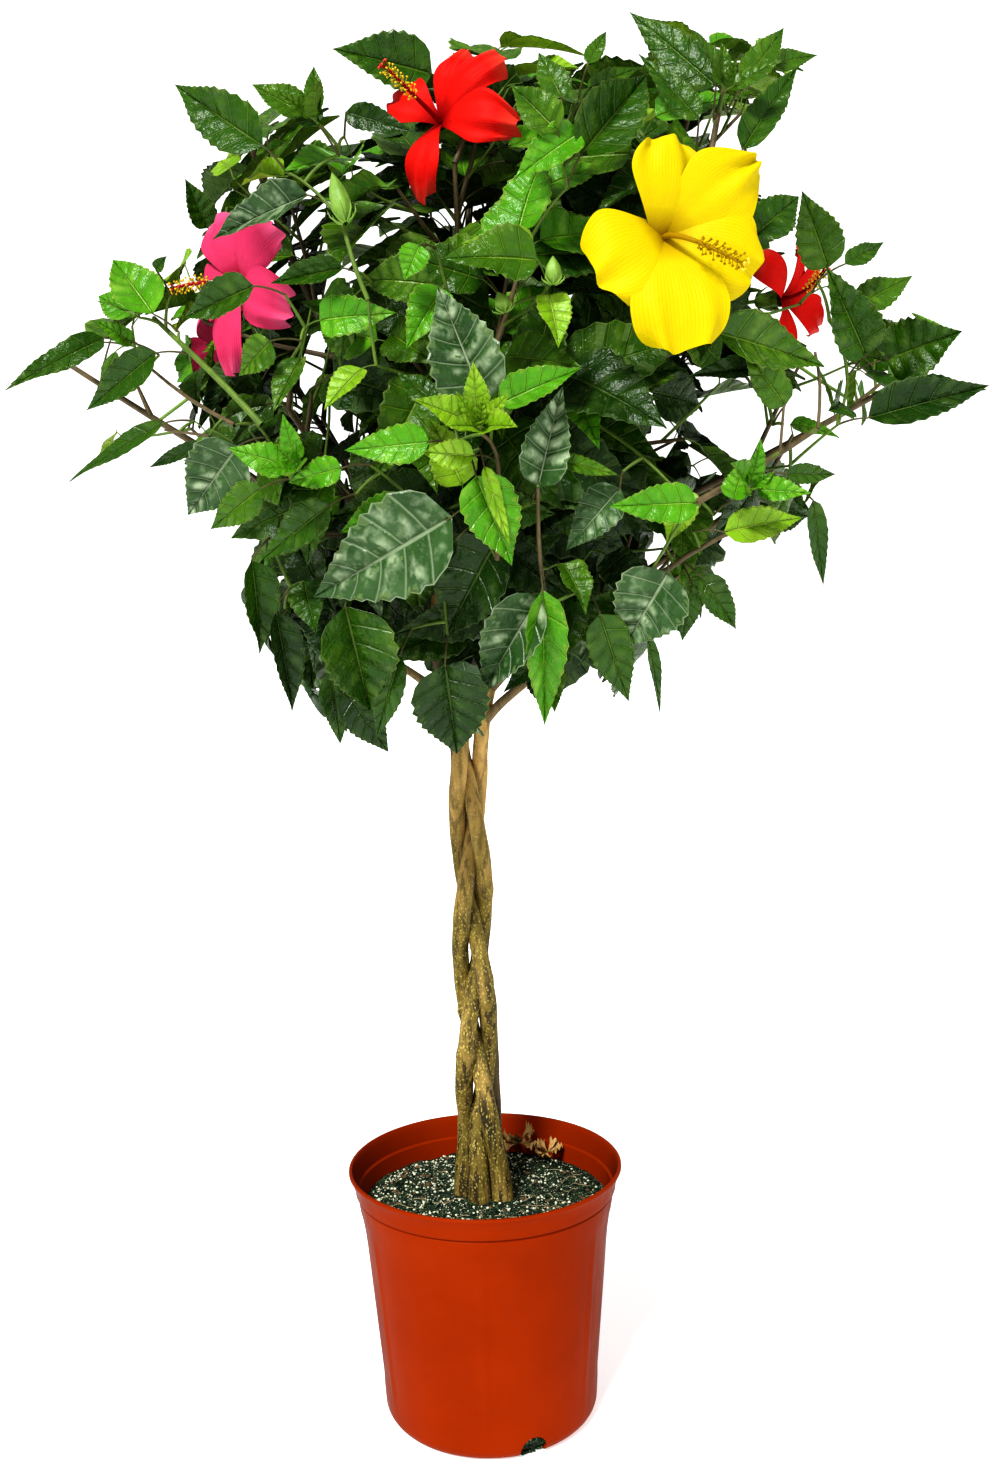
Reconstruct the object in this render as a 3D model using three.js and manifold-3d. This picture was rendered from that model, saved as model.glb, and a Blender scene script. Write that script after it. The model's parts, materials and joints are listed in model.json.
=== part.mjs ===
// A hibiscus grown as a small tree: four stems plaited into one trunk, in a plastic nursery pot.
// Millimetres, +Z up, the viewer on the -Y side. The origin is the middle of the pot's flat underside.
import * as THREE from "three";
import { mergeVertices } from "three/addons/utils/BufferGeometryUtils.js";
import Module from "manifold-3d";

const wasm = await Module();
wasm.setup();

// Driving dimensions

const CLEAR = 0.3; // gap between pieces that touch
const CUT = CLEAR + 0.05; // how far a cutter stands off the piece that it is made from

const POT = {
  height: 246,
  lipRadius: 133,
  ledgeRadius: 127,
  ledgeDrop: 22, // from the top of the lip to the ledge under its band
  bodyTopRadius: 125.5,
  shoulderRadius: 121,
  shoulderDrop: 46, // from the top of the lip to the end of the flared shoulder
  footRadius: 104.5,
  footRound: 14,
  wall: 2,
  floor: 3,
  segments: 32,
};
const DRAIN = { count: 3, firstAngle: -68.5, width: 26, springing: 8 };
const SOIL_TOP = 216;

const BRAID = {
  strands: 3,
  period: 400,
  halfWidth: 12,
  halfDepth: 12,
  footGrow: 1.1, // how much wider the plait is at its foot
  rightmostHeight: 520, // a strand is at its rightmost here
  footEnd: 300, // below this height the strands run out to their feet
  top: 640, // above this height the strands part into leaders
  leaderTop: 820,
  lean: -5,
};
const STRAND = {
  footRadius: 11.5,
  lowRadius: 8.8,
  topRadius: 7.8,
  leaderRadius: 5.6,
  sides: 6,
  steps: 18,
};
const STRAND_FEET = [[-20, 7], [-6, -13], [16, -10]];
const STRAND_ENDS = [[8, 34], [-32, -30], [42, -6]];
const REAR_STEM = { foot: [9, 20], low: [9, 28], lowHeight: 330, top: [-14, 27], end: [-42, 40] };

const BOUGH = {
  baseRadius: 5,
  tipRadius: 3.6,
  share: 0.4, // of the way from its leader to the tip of its mass
  rise: 0.3, // how much it sets off upwards
  lift: 0.03, // how far its tip stands over the straight way, as a share of that way
  bend: 0.45,
  sides: 4,
  steps: 3,
};
const TWIG = {
  stemRadius: 4.2,
  shootRadius: 2.8,
  tipRadius: 2.2,
  budRadius: 1.4, // where a shoot begins, inside the stem
  sides: 3,
  stemSteps: 5,
  shootSteps: 2,
  gap: 4, // least distance between two twigs
  rootRoom: 14, // a shoot may stay this near its own stem
};
// A shoot's way is a mix of the stem's own way, the side it grows on, outwards and up.
const SHOOT = {
  length: 105,
  shortest: 0.75, // of that length
  longest: 1.25,
  lengthAtFoot: 1.1, // of that length, on the foot of its stem
  lengthAtTip: 0.8,
  first: 0.12,
  last: 0.97,
  way: { along: 0.5, side: 0.85, out: 0.4, up: 0.15 },
  bend: 0.55, // where it bends, as a share of its length
  tip: { along: 0.35, out: 0.08, up: 0.1 }, // the way on from the bend
  leafFrom: 0.3,
  leafTo: 0.98,
  stemLeafFrom: 0.2,
  stemTipAge: 0.6, // the age of the leaf at a main stem's tip, where 1 is the youngest
  internode: 39,
  tries: 4,
  tryTurn: 1.3,
};
const LEAF = {
  old: 116,
  young: 70,
  slender: 0.68,
  thickness: 0.011, // of its length
  widest: 0.62, // the lower, the nearer to its base the blade is widest
  fullness: 0.8, // the lower, the fuller its outline
  corner: 0.34, // where its two side corners lie along it
  ribMiddle: 0.42, // and the middle of its rib
  cup: 0.03, // how far its edges stand over its rib, as a share of its length
  droop: 0.13, // how far its tip hangs
  tip: 92, // length of the leaf at the tip of each mass
  tipStalk: 20,
  tipShrink: 0.12, // how much shorter each further try at it is
  stalk: 30,
  stalkOld: 1.15, // of that length, on the oldest leaf
  stalkYoung: 0.6,
  stalkSpread: 0.2,
  stalkRadius: 1,
  lengthSpread: 0.15,
  way: { along: 0.45, side: 0.85, out: 0.35, up: 0.12 },
  face: { out: 0.7, up: 0.4, light: 0.4, wild: 0.8 },
  pull: { stalk: 0.7, out: 0.25, wild: -0.5 },
  hangLow: 1.3, // the pull down on a leaf low in the crown
  hangHigh: -0.35, // and on one near its top, where leaves stand up
  lowest: 780,
  highest: 1260,
  hangSpread: [0.6, 1.2],
  unrest: 0.75,
  tries: 8,
  tryTurn: 1.4,
  tryAge: 0.04,
  rootRoom: 16, // a leaf may come this near the twig it grows on
  stalkBladeGap: 4, // least distance from its stalk to another blade
  stalkTwigGap: 2,
};

const CROWN = {
  middle: [40, 0, 985],
  reach: [330, 320, 350], // half of its width, depth and height
  squareness: 2.4,
  low: 622,
  high: 1336,
  left: -446,
  right: 512,
  shootReach: 0.84, // how far out shoots may end, as a share of the reach
  usualOut: 0.78, // a mass whose tip is further out than this carries its leaves as much further
  bladeGap: 9.5, // least distance between the sample points of two blades
  twigGap: 5, // and from a blade to a twig or limb
  slack: 70, // how far a leaf may lean into a neighbour's space
};

// Each mass of foliage: the leader that carries it, the height where its bough leaves that leader
// (0 for the leader's own tip), the way to its tip from the crown's middle as a turn from +X and a
// rise in degrees, how far out that tip is as a share of the crown's reach, and its number of shoots.
const MASSES = [
  { name: "front", leader: 1, fork: 712, turn: -94, rise: -2, out: 0.76, shoots: 6, seed: 11 },
  { name: "right_front", leader: 2, fork: 735, turn: -52, rise: 14, out: 0.76, shoots: 6, seed: 12 },
  { name: "left_front", leader: 1, fork: 748, turn: -136, rise: -6, out: 0.78, shoots: 6, seed: 13 },
  { name: "front_low", leader: 1, fork: 680, turn: -98, rise: -48, out: 0.8, shoots: 5, seed: 14 },
  { name: "right", leader: 2, fork: 775, turn: -4, rise: 2, out: 1.2, shoots: 6, seed: 15 },
  { name: "left", leader: 1, fork: 785, turn: -172, rise: 4, out: 1.2, shoots: 6, seed: 16 },
  { name: "right_low", leader: 2, fork: 705, turn: -20, rise: -22, out: 0.78, shoots: 5, seed: 17 },
  { name: "right_under", leader: 2, fork: 676, turn: -46, rise: -46, out: 0.76, shoots: 5, seed: 18 },
  { name: "left_low", leader: 3, fork: 690, turn: -154, rise: -40, out: 0.84, shoots: 6, seed: 19 },
  { name: "top_left", leader: 1, fork: 0, turn: -162, rise: 42, out: 0.95, shoots: 6, seed: 20 },
  { name: "top", leader: 0, fork: 0, turn: -105, rise: 52, out: 0.78, shoots: 6, seed: 21 },
  { name: "top_right", leader: 2, fork: 0, turn: -14, rise: 54, out: 0.96, shoots: 6, seed: 22 },
  { name: "back_left", leader: 3, fork: 780, turn: 146, rise: 8, out: 0.78, shoots: 6, seed: 23 },
  { name: "back", leader: 0, fork: 720, turn: 92, rise: -4, out: 0.78, shoots: 6, seed: 24 },
  { name: "back_right", leader: 0, fork: 770, turn: 42, rise: 10, out: 0.78, shoots: 6, seed: 25 },
  { name: "back_top", leader: 3, fork: 0, turn: 100, rise: 52, out: 0.78, shoots: 6, seed: 26 },
  { name: "middle", leader: 3, fork: 760, turn: -20, rise: 84, out: 0.5, shoots: 5, seed: 29 },
  { name: "back_low_left", leader: 3, fork: 730, turn: 128, rise: -42, out: 0.78, shoots: 5, seed: 27 },
  { name: "back_low_right", leader: 0, fork: 685, turn: 50, rise: -40, out: 0.78, shoots: 5, seed: 28 },
];

// Each bloom: the mass that bears it, where its stalk leaves that mass's stem, the middle of its
// throat, the way it faces as azimuth and elevation in degrees, and its petals' length.
const BLOOMS = [
  { mass: "right_front", from: 0.9, throat: [150, -296, 1056], azimuth: -78, elevation: 4, petal: 81 },
  { mass: "top", from: 0.85, throat: [-12, -128, 1190], azimuth: -118, elevation: 12, petal: 68 },
  { mass: "left", from: 0.6, throat: [-172, -135, 1072], azimuth: -160, elevation: 5, petal: 66 },
  { mass: "right", from: 0.7, throat: [310, 60, 1090], azimuth: 20, elevation: -5, petal: 64 },
  { mass: "back", from: 0.9, throat: [40, 330, 1010], azimuth: 85, elevation: 15, petal: 76 },
  { mass: "back_left", from: 0.9, throat: [-250, 240, 1080], azimuth: 140, elevation: 10, petal: 66 },
];

const BLOOM = {
  petals: 5,
  firstPetal: 0.25, // turn of the first petal from the top, in petals
  petalThickness: 1.2,
  stalk: { bud: 1.2, radius: 1.8, bend: 0.4 },
  calyx: { length: 30, radius: 7.5, throat: 4.5 },
  column: { share: 0.75, base: 2.4, tip: 1.8 }, // its length as a share of a petal's
};

// Numbers and vectors

const GOLDEN = THREE.MathUtils.degToRad(137.5);
const UP = new THREE.Vector3(0, 0, 1);
const LIGHT = new THREE.Vector3(-0.2, -0.9, 0.4); // the side that faced the light
const vec = (x, y, z) => new THREE.Vector3(x, y, z);
const mix = THREE.MathUtils.lerp;
const smooth = THREE.MathUtils.smoothstep;
const sum = (...terms) => terms.reduce((total, [v, k]) => total.addScaledVector(v, k), vec(0, 0, 0));

// Mulberry32: the same draws for the same seed wherever it is written.
function draws(seed) {
  let state = seed >>> 0;
  return () => {
    state = (state + 0x6d2b79f5) >>> 0;
    let t = Math.imul(state ^ (state >>> 15), 1 | state);
    t = (t + Math.imul(t ^ (t >>> 7), 61 | t)) ^ t;
    return ((t ^ (t >>> 14)) >>> 0) / 4294967296;
  };
}

// Solids

function solidOf(geometry) {
  const bare = geometry.clone();
  bare.deleteAttribute("normal");
  bare.deleteAttribute("uv");
  const merged = mergeVertices(bare, 1e-4);
  return new wasm.Manifold(
    new wasm.Mesh({
      numProp: 3,
      vertProperties: new Float32Array(merged.attributes.position.array),
      triVerts: new Uint32Array(merged.index.array),
    }),
  );
}

function geometryOf(solid) {
  const { vertProperties, triVerts } = solid.getMesh();
  const geometry = new THREE.BufferGeometry();
  geometry.setAttribute("position", new THREE.BufferAttribute(vertProperties, 3));
  geometry.setIndex(new THREE.BufferAttribute(triVerts, 1));
  geometry.computeVertexNormals();
  return geometry;
}

function meshGeometry(points, faces) {
  const geometry = new THREE.BufferGeometry();
  geometry.setAttribute(
    "position",
    new THREE.Float32BufferAttribute(points.flatMap((p) => p.toArray()), 3),
  );
  geometry.setIndex(faces.flat());
  return geometry;
}

// A tapering limb: rings round a line of points, each ring turned as little as possible from the last.
function limb(points, radii, sides) {
  const rings = [];
  let across = vec(1, 0, 0);
  points.forEach((p, i) => {
    const ahead = points[Math.min(i + 1, points.length - 1)];
    const behind = points[Math.max(i - 1, 0)];
    const along = ahead.clone().sub(behind).normalize();
    if (Math.abs(along.dot(across)) > 0.9) across = vec(0, 1, 0);
    across = across.clone().addScaledVector(along, -along.dot(across)).normalize();
    const third = along.clone().cross(across);
    for (let k = 0; k < sides; k += 1) {
      const a = (2 * Math.PI * k) / sides;
      const r = radii[i];
      rings.push(sum([p, 1], [across, r * Math.cos(a)], [third, r * Math.sin(a)]));
    }
  });
  const faces = [];
  for (let i = 0; i < points.length - 1; i += 1) {
    for (let k = 0; k < sides; k += 1) {
      const a = i * sides + k;
      const b = i * sides + ((k + 1) % sides);
      faces.push([a, b, b + sides], [a, b + sides, a + sides]);
    }
  }
  const last = (points.length - 1) * sides;
  for (let k = 1; k < sides - 1; k += 1) {
    faces.push([0, k + 1, k], [last, last + k, last + k + 1]);
  }
  return meshGeometry(rings, faces);
}

// Pot and soil

function lathe(profile) {
  const geometry = new THREE.LatheGeometry(
    profile.map(([r, z]) => new THREE.Vector2(r, z)),
    POT.segments,
  );
  return geometry.rotateX(Math.PI / 2);
}

// The pot's outer radius at a height between its shoulder and its ledge.
function neckRadius(z) {
  const t = (POT.height - z - POT.ledgeDrop) / (POT.shoulderDrop - POT.ledgeDrop);
  return mix(POT.bodyTopRadius, POT.shoulderRadius, t);
}

function roundedFoot(inset, floor) {
  const steps = 3;
  const round = POT.footRound - inset / 2;
  return Array.from({ length: steps + 1 }, (_, i) => {
    const a = (Math.PI / 2) * (i / steps);
    const r = POT.footRadius - inset - round * (1 - Math.sin(a));
    return [r, floor + round * (1 - Math.cos(a))];
  });
}

function potSolid() {
  const { height: top, wall } = POT;
  const ledge = top - POT.ledgeDrop;
  const shoulder = top - POT.shoulderDrop;
  const outside = [
    [0, 0],
    ...roundedFoot(0, 0),
    [POT.shoulderRadius, shoulder],
    [POT.bodyTopRadius, ledge],
    [POT.ledgeRadius, ledge + 1],
    [POT.lipRadius - 1, top - 4],
    [POT.lipRadius, top - 2],
    [POT.lipRadius - 1, top],
  ];
  const inside = [
    [POT.lipRadius - wall - 1.5, top],
    [POT.ledgeRadius - wall, ledge + 1],
    [POT.bodyTopRadius - wall - 1, ledge],
    [POT.shoulderRadius - wall, shoulder],
    ...roundedFoot(wall, POT.floor).reverse(),
    [0, POT.floor],
  ];
  let solid = solidOf(lathe([...outside, ...inside]));
  for (let i = 0; i < DRAIN.count; i += 1) solid = solid.subtract(drainCutter(i));
  return solid;
}

// An arched notch through the foot of the wall.
function drainCutter(i) {
  const half = DRAIN.width / 2;
  const arch = new THREE.Shape();
  arch.moveTo(-half, -5);
  arch.lineTo(half, -5);
  arch.lineTo(half, DRAIN.springing);
  arch.absarc(0, DRAIN.springing, half, 0, Math.PI, false);
  const block = new THREE.ExtrudeGeometry(arch, { depth: 25, bevelEnabled: false, curveSegments: 4 });
  block.rotateX(Math.PI / 2).rotateZ(Math.PI / 2);
  block.translate(POT.footRadius - 17, 0, 0);
  block.rotateZ(THREE.MathUtils.degToRad(DRAIN.firstAngle + (360 * i) / DRAIN.count));
  return solidOf(block);
}

function soilSolid() {
  const inset = POT.wall + CLEAR;
  const shoulder = POT.height - POT.shoulderDrop;
  return solidOf(
    lathe([
      [0, POT.floor + CLEAR],
      ...roundedFoot(inset, POT.floor + CLEAR),
      [POT.shoulderRadius - inset - 0.1, shoulder],
      [neckRadius(SOIL_TOP) - inset - 0.4, SOIL_TOP],
      [0, SOIL_TOP],
    ]),
  );
}

// Stems

function plait(i, z) {
  const turn = (2 * Math.PI * (z - BRAID.rightmostHeight)) / BRAID.period;
  const a = turn + Math.PI / 2 + (2 * Math.PI * i) / BRAID.strands;
  const grow = mix(BRAID.footGrow, 1, (z - BRAID.footEnd) / (BRAID.top - BRAID.footEnd));
  const x = BRAID.lean + grow * BRAID.halfWidth * Math.sin(a);
  return vec(x, grow * BRAID.halfDepth * Math.sin(2 * a), z);
}

// The middle line of stem i (the plaited three, then the one behind them) at a height.
function stemPoint(i, z) {
  const parting = smooth(z, BRAID.top, BRAID.leaderTop);
  if (i === BRAID.strands) {
    const low = smooth(z, SOIL_TOP, REAR_STEM.lowHeight);
    const high = smooth(z, REAR_STEM.lowHeight, BRAID.top);
    const at = [0, 1].map((k) => {
      const onWay = mix(mix(REAR_STEM.foot[k], REAR_STEM.low[k], low), REAR_STEM.top[k], high);
      return mix(onWay, REAR_STEM.end[k], parting);
    });
    return vec(at[0], at[1], z);
  }
  if (z < BRAID.footEnd) {
    const joint = plait(i, BRAID.footEnd);
    const slope = plait(i, BRAID.footEnd + 1).sub(joint);
    const t = (BRAID.footEnd - z) / (BRAID.footEnd - SOIL_TOP);
    const out = smooth(t, 0, 1);
    const carry = t * (1 - t) * (1 - t) * (BRAID.footEnd - SOIL_TOP);
    const [fx, fy] = STRAND_FEET[i];
    return vec(mix(joint.x, fx, out) - slope.x * carry, mix(joint.y, fy, out) - slope.y * carry, z);
  }
  const woven = plait(i, Math.min(z, BRAID.top + 60));
  const [ex, ey] = STRAND_ENDS[i];
  return vec(mix(woven.x, ex, parting), mix(woven.y, ey, parting), z);
}

function stemRadius(z) {
  if (z < BRAID.footEnd) {
    const flare = (BRAID.footEnd - z) / (BRAID.footEnd - SOIL_TOP);
    return mix(STRAND.lowRadius, STRAND.footRadius, flare * flare);
  }
  if (z < BRAID.top) {
    return mix(STRAND.lowRadius, STRAND.topRadius, (z - BRAID.footEnd) / (BRAID.top - BRAID.footEnd));
  }
  return mix(STRAND.topRadius, STRAND.leaderRadius, (z - BRAID.top) / (BRAID.leaderTop - BRAID.top));
}

function stemLine(i, steps, grow = 0) {
  const [bottom, top] = [SOIL_TOP - 5, BRAID.leaderTop + grow];
  const heights = Array.from({ length: steps + 1 }, (_, k) => mix(bottom, top, k / steps));
  return { points: heights.map((z) => stemPoint(i, z)), radii: heights.map((z) => stemRadius(z) + grow) };
}

// A stem, cut off flat where it meets the soil.
function wholeStem(i, grow = 0) {
  const { points, radii } = stemLine(i, STRAND.steps, grow);
  const ground = new THREE.BoxGeometry(200, 200, 100).translate(0, 0, SOIL_TOP + CLEAR - 50);
  return solidOf(limb(points, radii, STRAND.sides)).subtract(solidOf(ground));
}

// The plait is tight: each stem is pressed flat where it lies against an earlier one.
function stemSolid(i, earlier) {
  return largest(earlier.reduce((rest, stem) => rest.subtract(stem), wholeStem(i)));
}

// Boughs: a curve from the leader's middle line, cut clear of every stem

function degrees(...angles) {
  return angles.map(THREE.MathUtils.degToRad);
}

function massTip({ turn, rise, out }) {
  const [a, e] = degrees(turn, rise);
  const [rx, ry, rz] = CROWN.reach.map((r) => r * out);
  const way = vec(rx * Math.cos(e) * Math.cos(a), ry * Math.cos(e) * Math.sin(a), rz * Math.sin(e));
  return way.add(vec(...CROWN.middle));
}

// How far out a point is, as a share of the crown's reach: the crown is a ball a little squared.
function outness(p) {
  const shares = p.toArray().map((v, i) => Math.abs(v - CROWN.middle[i]) / CROWN.reach[i]);
  return shares.reduce((total, share) => total + share ** CROWN.squareness, 0) ** (1 / CROWN.squareness);
}

function boughLine(mass) {
  const height = mass.fork || BRAID.leaderTop;
  const root = stemPoint(mass.leader, height);
  const aim = massTip(mass).sub(root);
  const end = sum([root, 1], [aim, BOUGH.share], [UP, aim.length() * BOUGH.lift]);
  const setOff = mass.fork
    ? sum([aim.clone().normalize(), 1 - BOUGH.rise], [UP, BOUGH.rise])
    : stemPoint(mass.leader, height).sub(stemPoint(mass.leader, height - 5)).normalize();
  const bend = sum([root, 1], [setOff, aim.length() * BOUGH.share * BOUGH.bend]);
  return new THREE.QuadraticBezierCurve3(root, bend, end);
}

function boughSolid(mass, stems) {
  const points = boughLine(mass).getPoints(BOUGH.steps);
  const radii = points.map((_, k) => mix(BOUGH.baseRadius, BOUGH.tipRadius, k / BOUGH.steps));
  const whole = solidOf(limb(points, radii, BOUGH.sides));
  return largest(stems.reduce((rest, stem) => rest.subtract(stem), whole));
}

// The biggest body of a solid: a hollow that fusing seals is filled, and a loose scrap is dropped.
function largest(solid) {
  return solid.decompose().reduce((a, b) => (b.volume() > a.volume() ? b : a));
}

// Growing room: everything already grown, as balls that the next leaf has to keep clear of

const room = [];

function occupy(points, radius, kind) {
  points.forEach((p, i) => room.push({ p, r: Array.isArray(radius) ? radius[i] : radius, kind }));
}

function isClear(points, gap, twigGap, ignore = () => false) {
  const middle = points[Math.floor(points.length / 2)];
  const reach = Math.max(...points.map((p) => p.distanceTo(middle)));
  const near = room.filter((b) => !ignore(b) && b.p.distanceTo(middle) < reach + gap + b.r);
  return points.every((p) =>
    near.every((b) => p.distanceToSquared(b.p) > ((b.kind === "blade" ? gap : twigGap) + b.r) ** 2),
  );
}

// Twigs

function samplesOf(curve, steps) {
  return Array.from({ length: steps + 1 }, (_, i) => curve.getPoint(i / steps));
}

// A twig's middle line as the straight runs that its faceted solid has.
function facetedLine(curve, steps) {
  const line = new THREE.CurvePath();
  line.corners = samplesOf(curve, steps);
  line.corners.slice(1).forEach((p, i) => line.add(new THREE.LineCurve3(line.corners[i], p)));
  return line;
}

// The stem of a mass goes on from its bough's tip, a small gap clear of it.
function massStem(mass) {
  const bough = boughLine(mass);
  const ahead = bough.getTangent(1).normalize();
  const start = sum([bough.v2, 1], [ahead, CLEAR]);
  const tip = massTip(mass);
  const bend = sum([start, 1], [ahead, start.distanceTo(tip) * BOUGH.bend]);
  return facetedLine(new THREE.QuadraticBezierCurve3(start, bend, tip), TWIG.stemSteps);
}

// The way from the crown's middle to a point, or along the ground when flat.
function outward(p, flat = false) {
  const [x, y, z] = CROWN.middle;
  return vec(p.x - x, p.y - y, flat ? 0 : p.z - z).normalize();
}

// The direction square to a twig at a turn round it.
function sideOf(along, turn) {
  const first = along.clone().cross(Math.abs(along.z) > 0.9 ? vec(1, 0, 0) : UP).normalize();
  const second = along.clone().cross(first);
  return sum([first, Math.cos(turn)], [second, Math.sin(turn)]);
}

// A direction as the weighted mix that a shoot or a leaf stalk sets off in.
function setOffWay(weights, along, turn, out) {
  return sum(
    [along, weights.along], [sideOf(along, turn), weights.side], [out, weights.out], [UP, weights.up],
  ).normalize();
}

function shootAt(stem, at, turn, length) {
  const root = stem.getPoint(at);
  const out = outward(root);
  const way = setOffWay(SHOOT.way, stem.getTangent(at).normalize(), turn, out);
  const onward = SHOOT.tip;
  const bend = sum([root, 1], [way, length * SHOOT.bend]);
  const tip = sum(
    [bend, 1], [way, length * onward.along], [out, length * onward.out], [UP, length * onward.up],
  );
  return facetedLine(new THREE.QuadraticBezierCurve3(root, bend, tip), TWIG.shootSteps);
}

function growShoots(mass) {
  const shoots = [];
  for (let k = 0; k < mass.shoots; k += 1) {
    const at = mix(SHOOT.first, SHOOT.last, k / (mass.shoots - 1));
    const taper = mix(SHOOT.lengthAtFoot, SHOOT.lengthAtTip, at);
    const length = SHOOT.length * mix(SHOOT.shortest, SHOOT.longest, mass.draw()) * taper;
    for (let attempt = 0; attempt < SHOOT.tries; attempt += 1) {
      const curve = shootAt(mass.stem, at, k * GOLDEN + mass.seed + attempt * SHOOT.tryTurn, length);
      const samples = samplesOf(curve, 8);
      const root = samples[0];
      const beyond = samples.slice(2);
      const ownStem = (b) => b.kind === "twig" && b.p.distanceTo(root) < TWIG.rootRoom;
      const inReach = beyond.every((p) => outness(p) < Math.max(CROWN.shootReach, mass.out));
      if (inReach && isClear(beyond, TWIG.gap, TWIG.gap, ownStem)) {
        shoots.push({ curve, length });
        occupy(samples, TWIG.shootRadius, "twig");
        break;
      }
    }
  }
  return shoots;
}

// Leaves

const BLADE_ROWS = [0, 0.125, 0.25, 0.375, 0.5, 0.625, 0.75, 0.875, 1];
const BLADE_LANES = [-1, -0.5, 0, 0.5, 1];

// Half the blade's width at a share of its length, as a share of its greatest half width.
function bladeHalf(s) {
  return Math.sin(Math.PI * s ** LEAF.widest) ** LEAF.fullness;
}

function bladeSamples({ base, axis, normal, length, width }) {
  const side = normal.clone().cross(axis);
  return BLADE_ROWS.flatMap((s) =>
    BLADE_LANES.map((lane) => {
      const across = (lane * width * bladeHalf(s)) / 2;
      return sum([base, 1], [axis, length * s], [side, across], [normal, -LEAF.droop * length * s * s]);
    }),
  );
}

function leafAt(node, along, turn, age, draw) {
  const spread = () => 2 * LEAF.unrest * (draw() - 0.5);
  const wild = vec(spread(), spread(), spread());
  const vary = (spread) => mix(1 - spread, 1 + spread, draw());
  const stalk = LEAF.stalk * mix(LEAF.stalkOld, LEAF.stalkYoung, age) * vary(LEAF.stalkSpread);
  const stalkWay = setOffWay(LEAF.way, along, turn, outward(node));
  const base = sum([node, 1], [stalkWay, stalk]);
  const level = THREE.MathUtils.clamp((base.z - LEAF.lowest) / (LEAF.highest - LEAF.lowest), 0, 1);
  const hang = mix(LEAF.hangLow, LEAF.hangHigh, level) * mix(...LEAF.hangSpread, draw());
  const { face, pull } = LEAF;
  const normal = sum(
    [outward(base), face.out], [UP, face.up], [LIGHT, face.light], [wild, face.wild],
  ).normalize();
  const drawn = sum([stalkWay, pull.stalk], [outward(base, true), pull.out], [UP, -hang], [wild, pull.wild]);
  const axis = drawn.addScaledVector(normal, -drawn.dot(normal)).normalize();
  const length = mix(LEAF.old, LEAF.young, age) * vary(LEAF.lengthSpread);
  return { node, base, axis, normal, length, width: length * LEAF.slender };
}

// A leaf has to stay in the crown's reach and its own mass's space, clear of all that has grown.
function leafFits(mass, leaf, blade, stalk) {
  const ownTwig = (b) => b.kind === "twig" && b.p.distanceTo(leaf.node) < LEAF.rootRoom;
  const middle = blade[Math.floor(blade.length / 2)];
  const edge = 1 + Math.max(0, mass.out - CROWN.usualOut);
  const { low, high, left, right } = CROWN;
  return (
    blade.every((p) => outness(p) < edge && p.z > low && p.z < high && p.x > left && p.x < right) &&
    MASSES.every((m) => middle.distanceTo(mass.heart) < middle.distanceTo(m.heart) + CROWN.slack) &&
    isClear(blade, CROWN.bladeGap, CROWN.twigGap, ownTwig) &&
    isClear(stalk, LEAF.stalkBladeGap, LEAF.stalkTwigGap, ownTwig)
  );
}

// The first of a few tries at a leaf that fits.
function growLeaf(mass, tryLeaf) {
  for (let attempt = 0; attempt < LEAF.tries; attempt += 1) {
    const leaf = tryLeaf(attempt);
    const blade = bladeSamples(leaf);
    const stalk = [0.35, 0.6, 0.85].map((t) => leaf.node.clone().lerp(leaf.base, t));
    if (leafFits(mass, leaf, blade, stalk)) {
      occupy(blade, 0, "blade");
      occupy(stalk, LEAF.stalkRadius, "twig");
      return leaf;
    }
  }
  return null;
}

// The leaf at the tip of a mass goes straight on outwards, to the crown's outline.
function tipLeaf(mass, attempt) {
  const node = mass.stem.getPoint(1);
  const axis = outward(node);
  const open = sum([UP, 1], [LIGHT, LEAF.face.light]);
  const normal = open.addScaledVector(axis, -open.dot(axis)).normalize();
  const length = LEAF.tip * (1 - attempt * LEAF.tipShrink);
  const base = sum([node, 1], [axis, LEAF.tipStalk]);
  return { node, base, axis, normal, length, width: length * LEAF.slender };
}

function growLeaves(mass) {
  const leaves = [];
  const keep = (leaf) => leaf && leaves.push(leaf);
  keep(growLeaf(mass, (attempt) => tipLeaf(mass, attempt)));
  const bearing = [...mass.grown, { curve: mass.stem, length: mass.stem.getLength(), main: true }];
  bearing.forEach(({ curve, length, main }, index) => {
    const from = main ? SHOOT.stemLeafFrom : SHOOT.leafFrom;
    const count = Math.floor((length * (1 - from)) / SHOOT.internode) + 1;
    for (let j = 0; j < count; j += 1) {
      const at = mix(from, SHOOT.leafTo, j / Math.max(count - 1, 1));
      const turn = j * GOLDEN + index * 2 + mass.seed;
      const age = main ? at * SHOOT.stemTipAge : (at - from) / (1 - from);
      const [node, along] = [curve.getPoint(at), curve.getTangent(at).normalize()];
      const tryLeaf = (attempt) =>
        leafAt(node, along, turn + attempt * LEAF.tryTurn, age + attempt * LEAF.tryAge, mass.draw);
      keep(growLeaf(mass, tryLeaf));
    }
  });
  return leaves;
}

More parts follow.
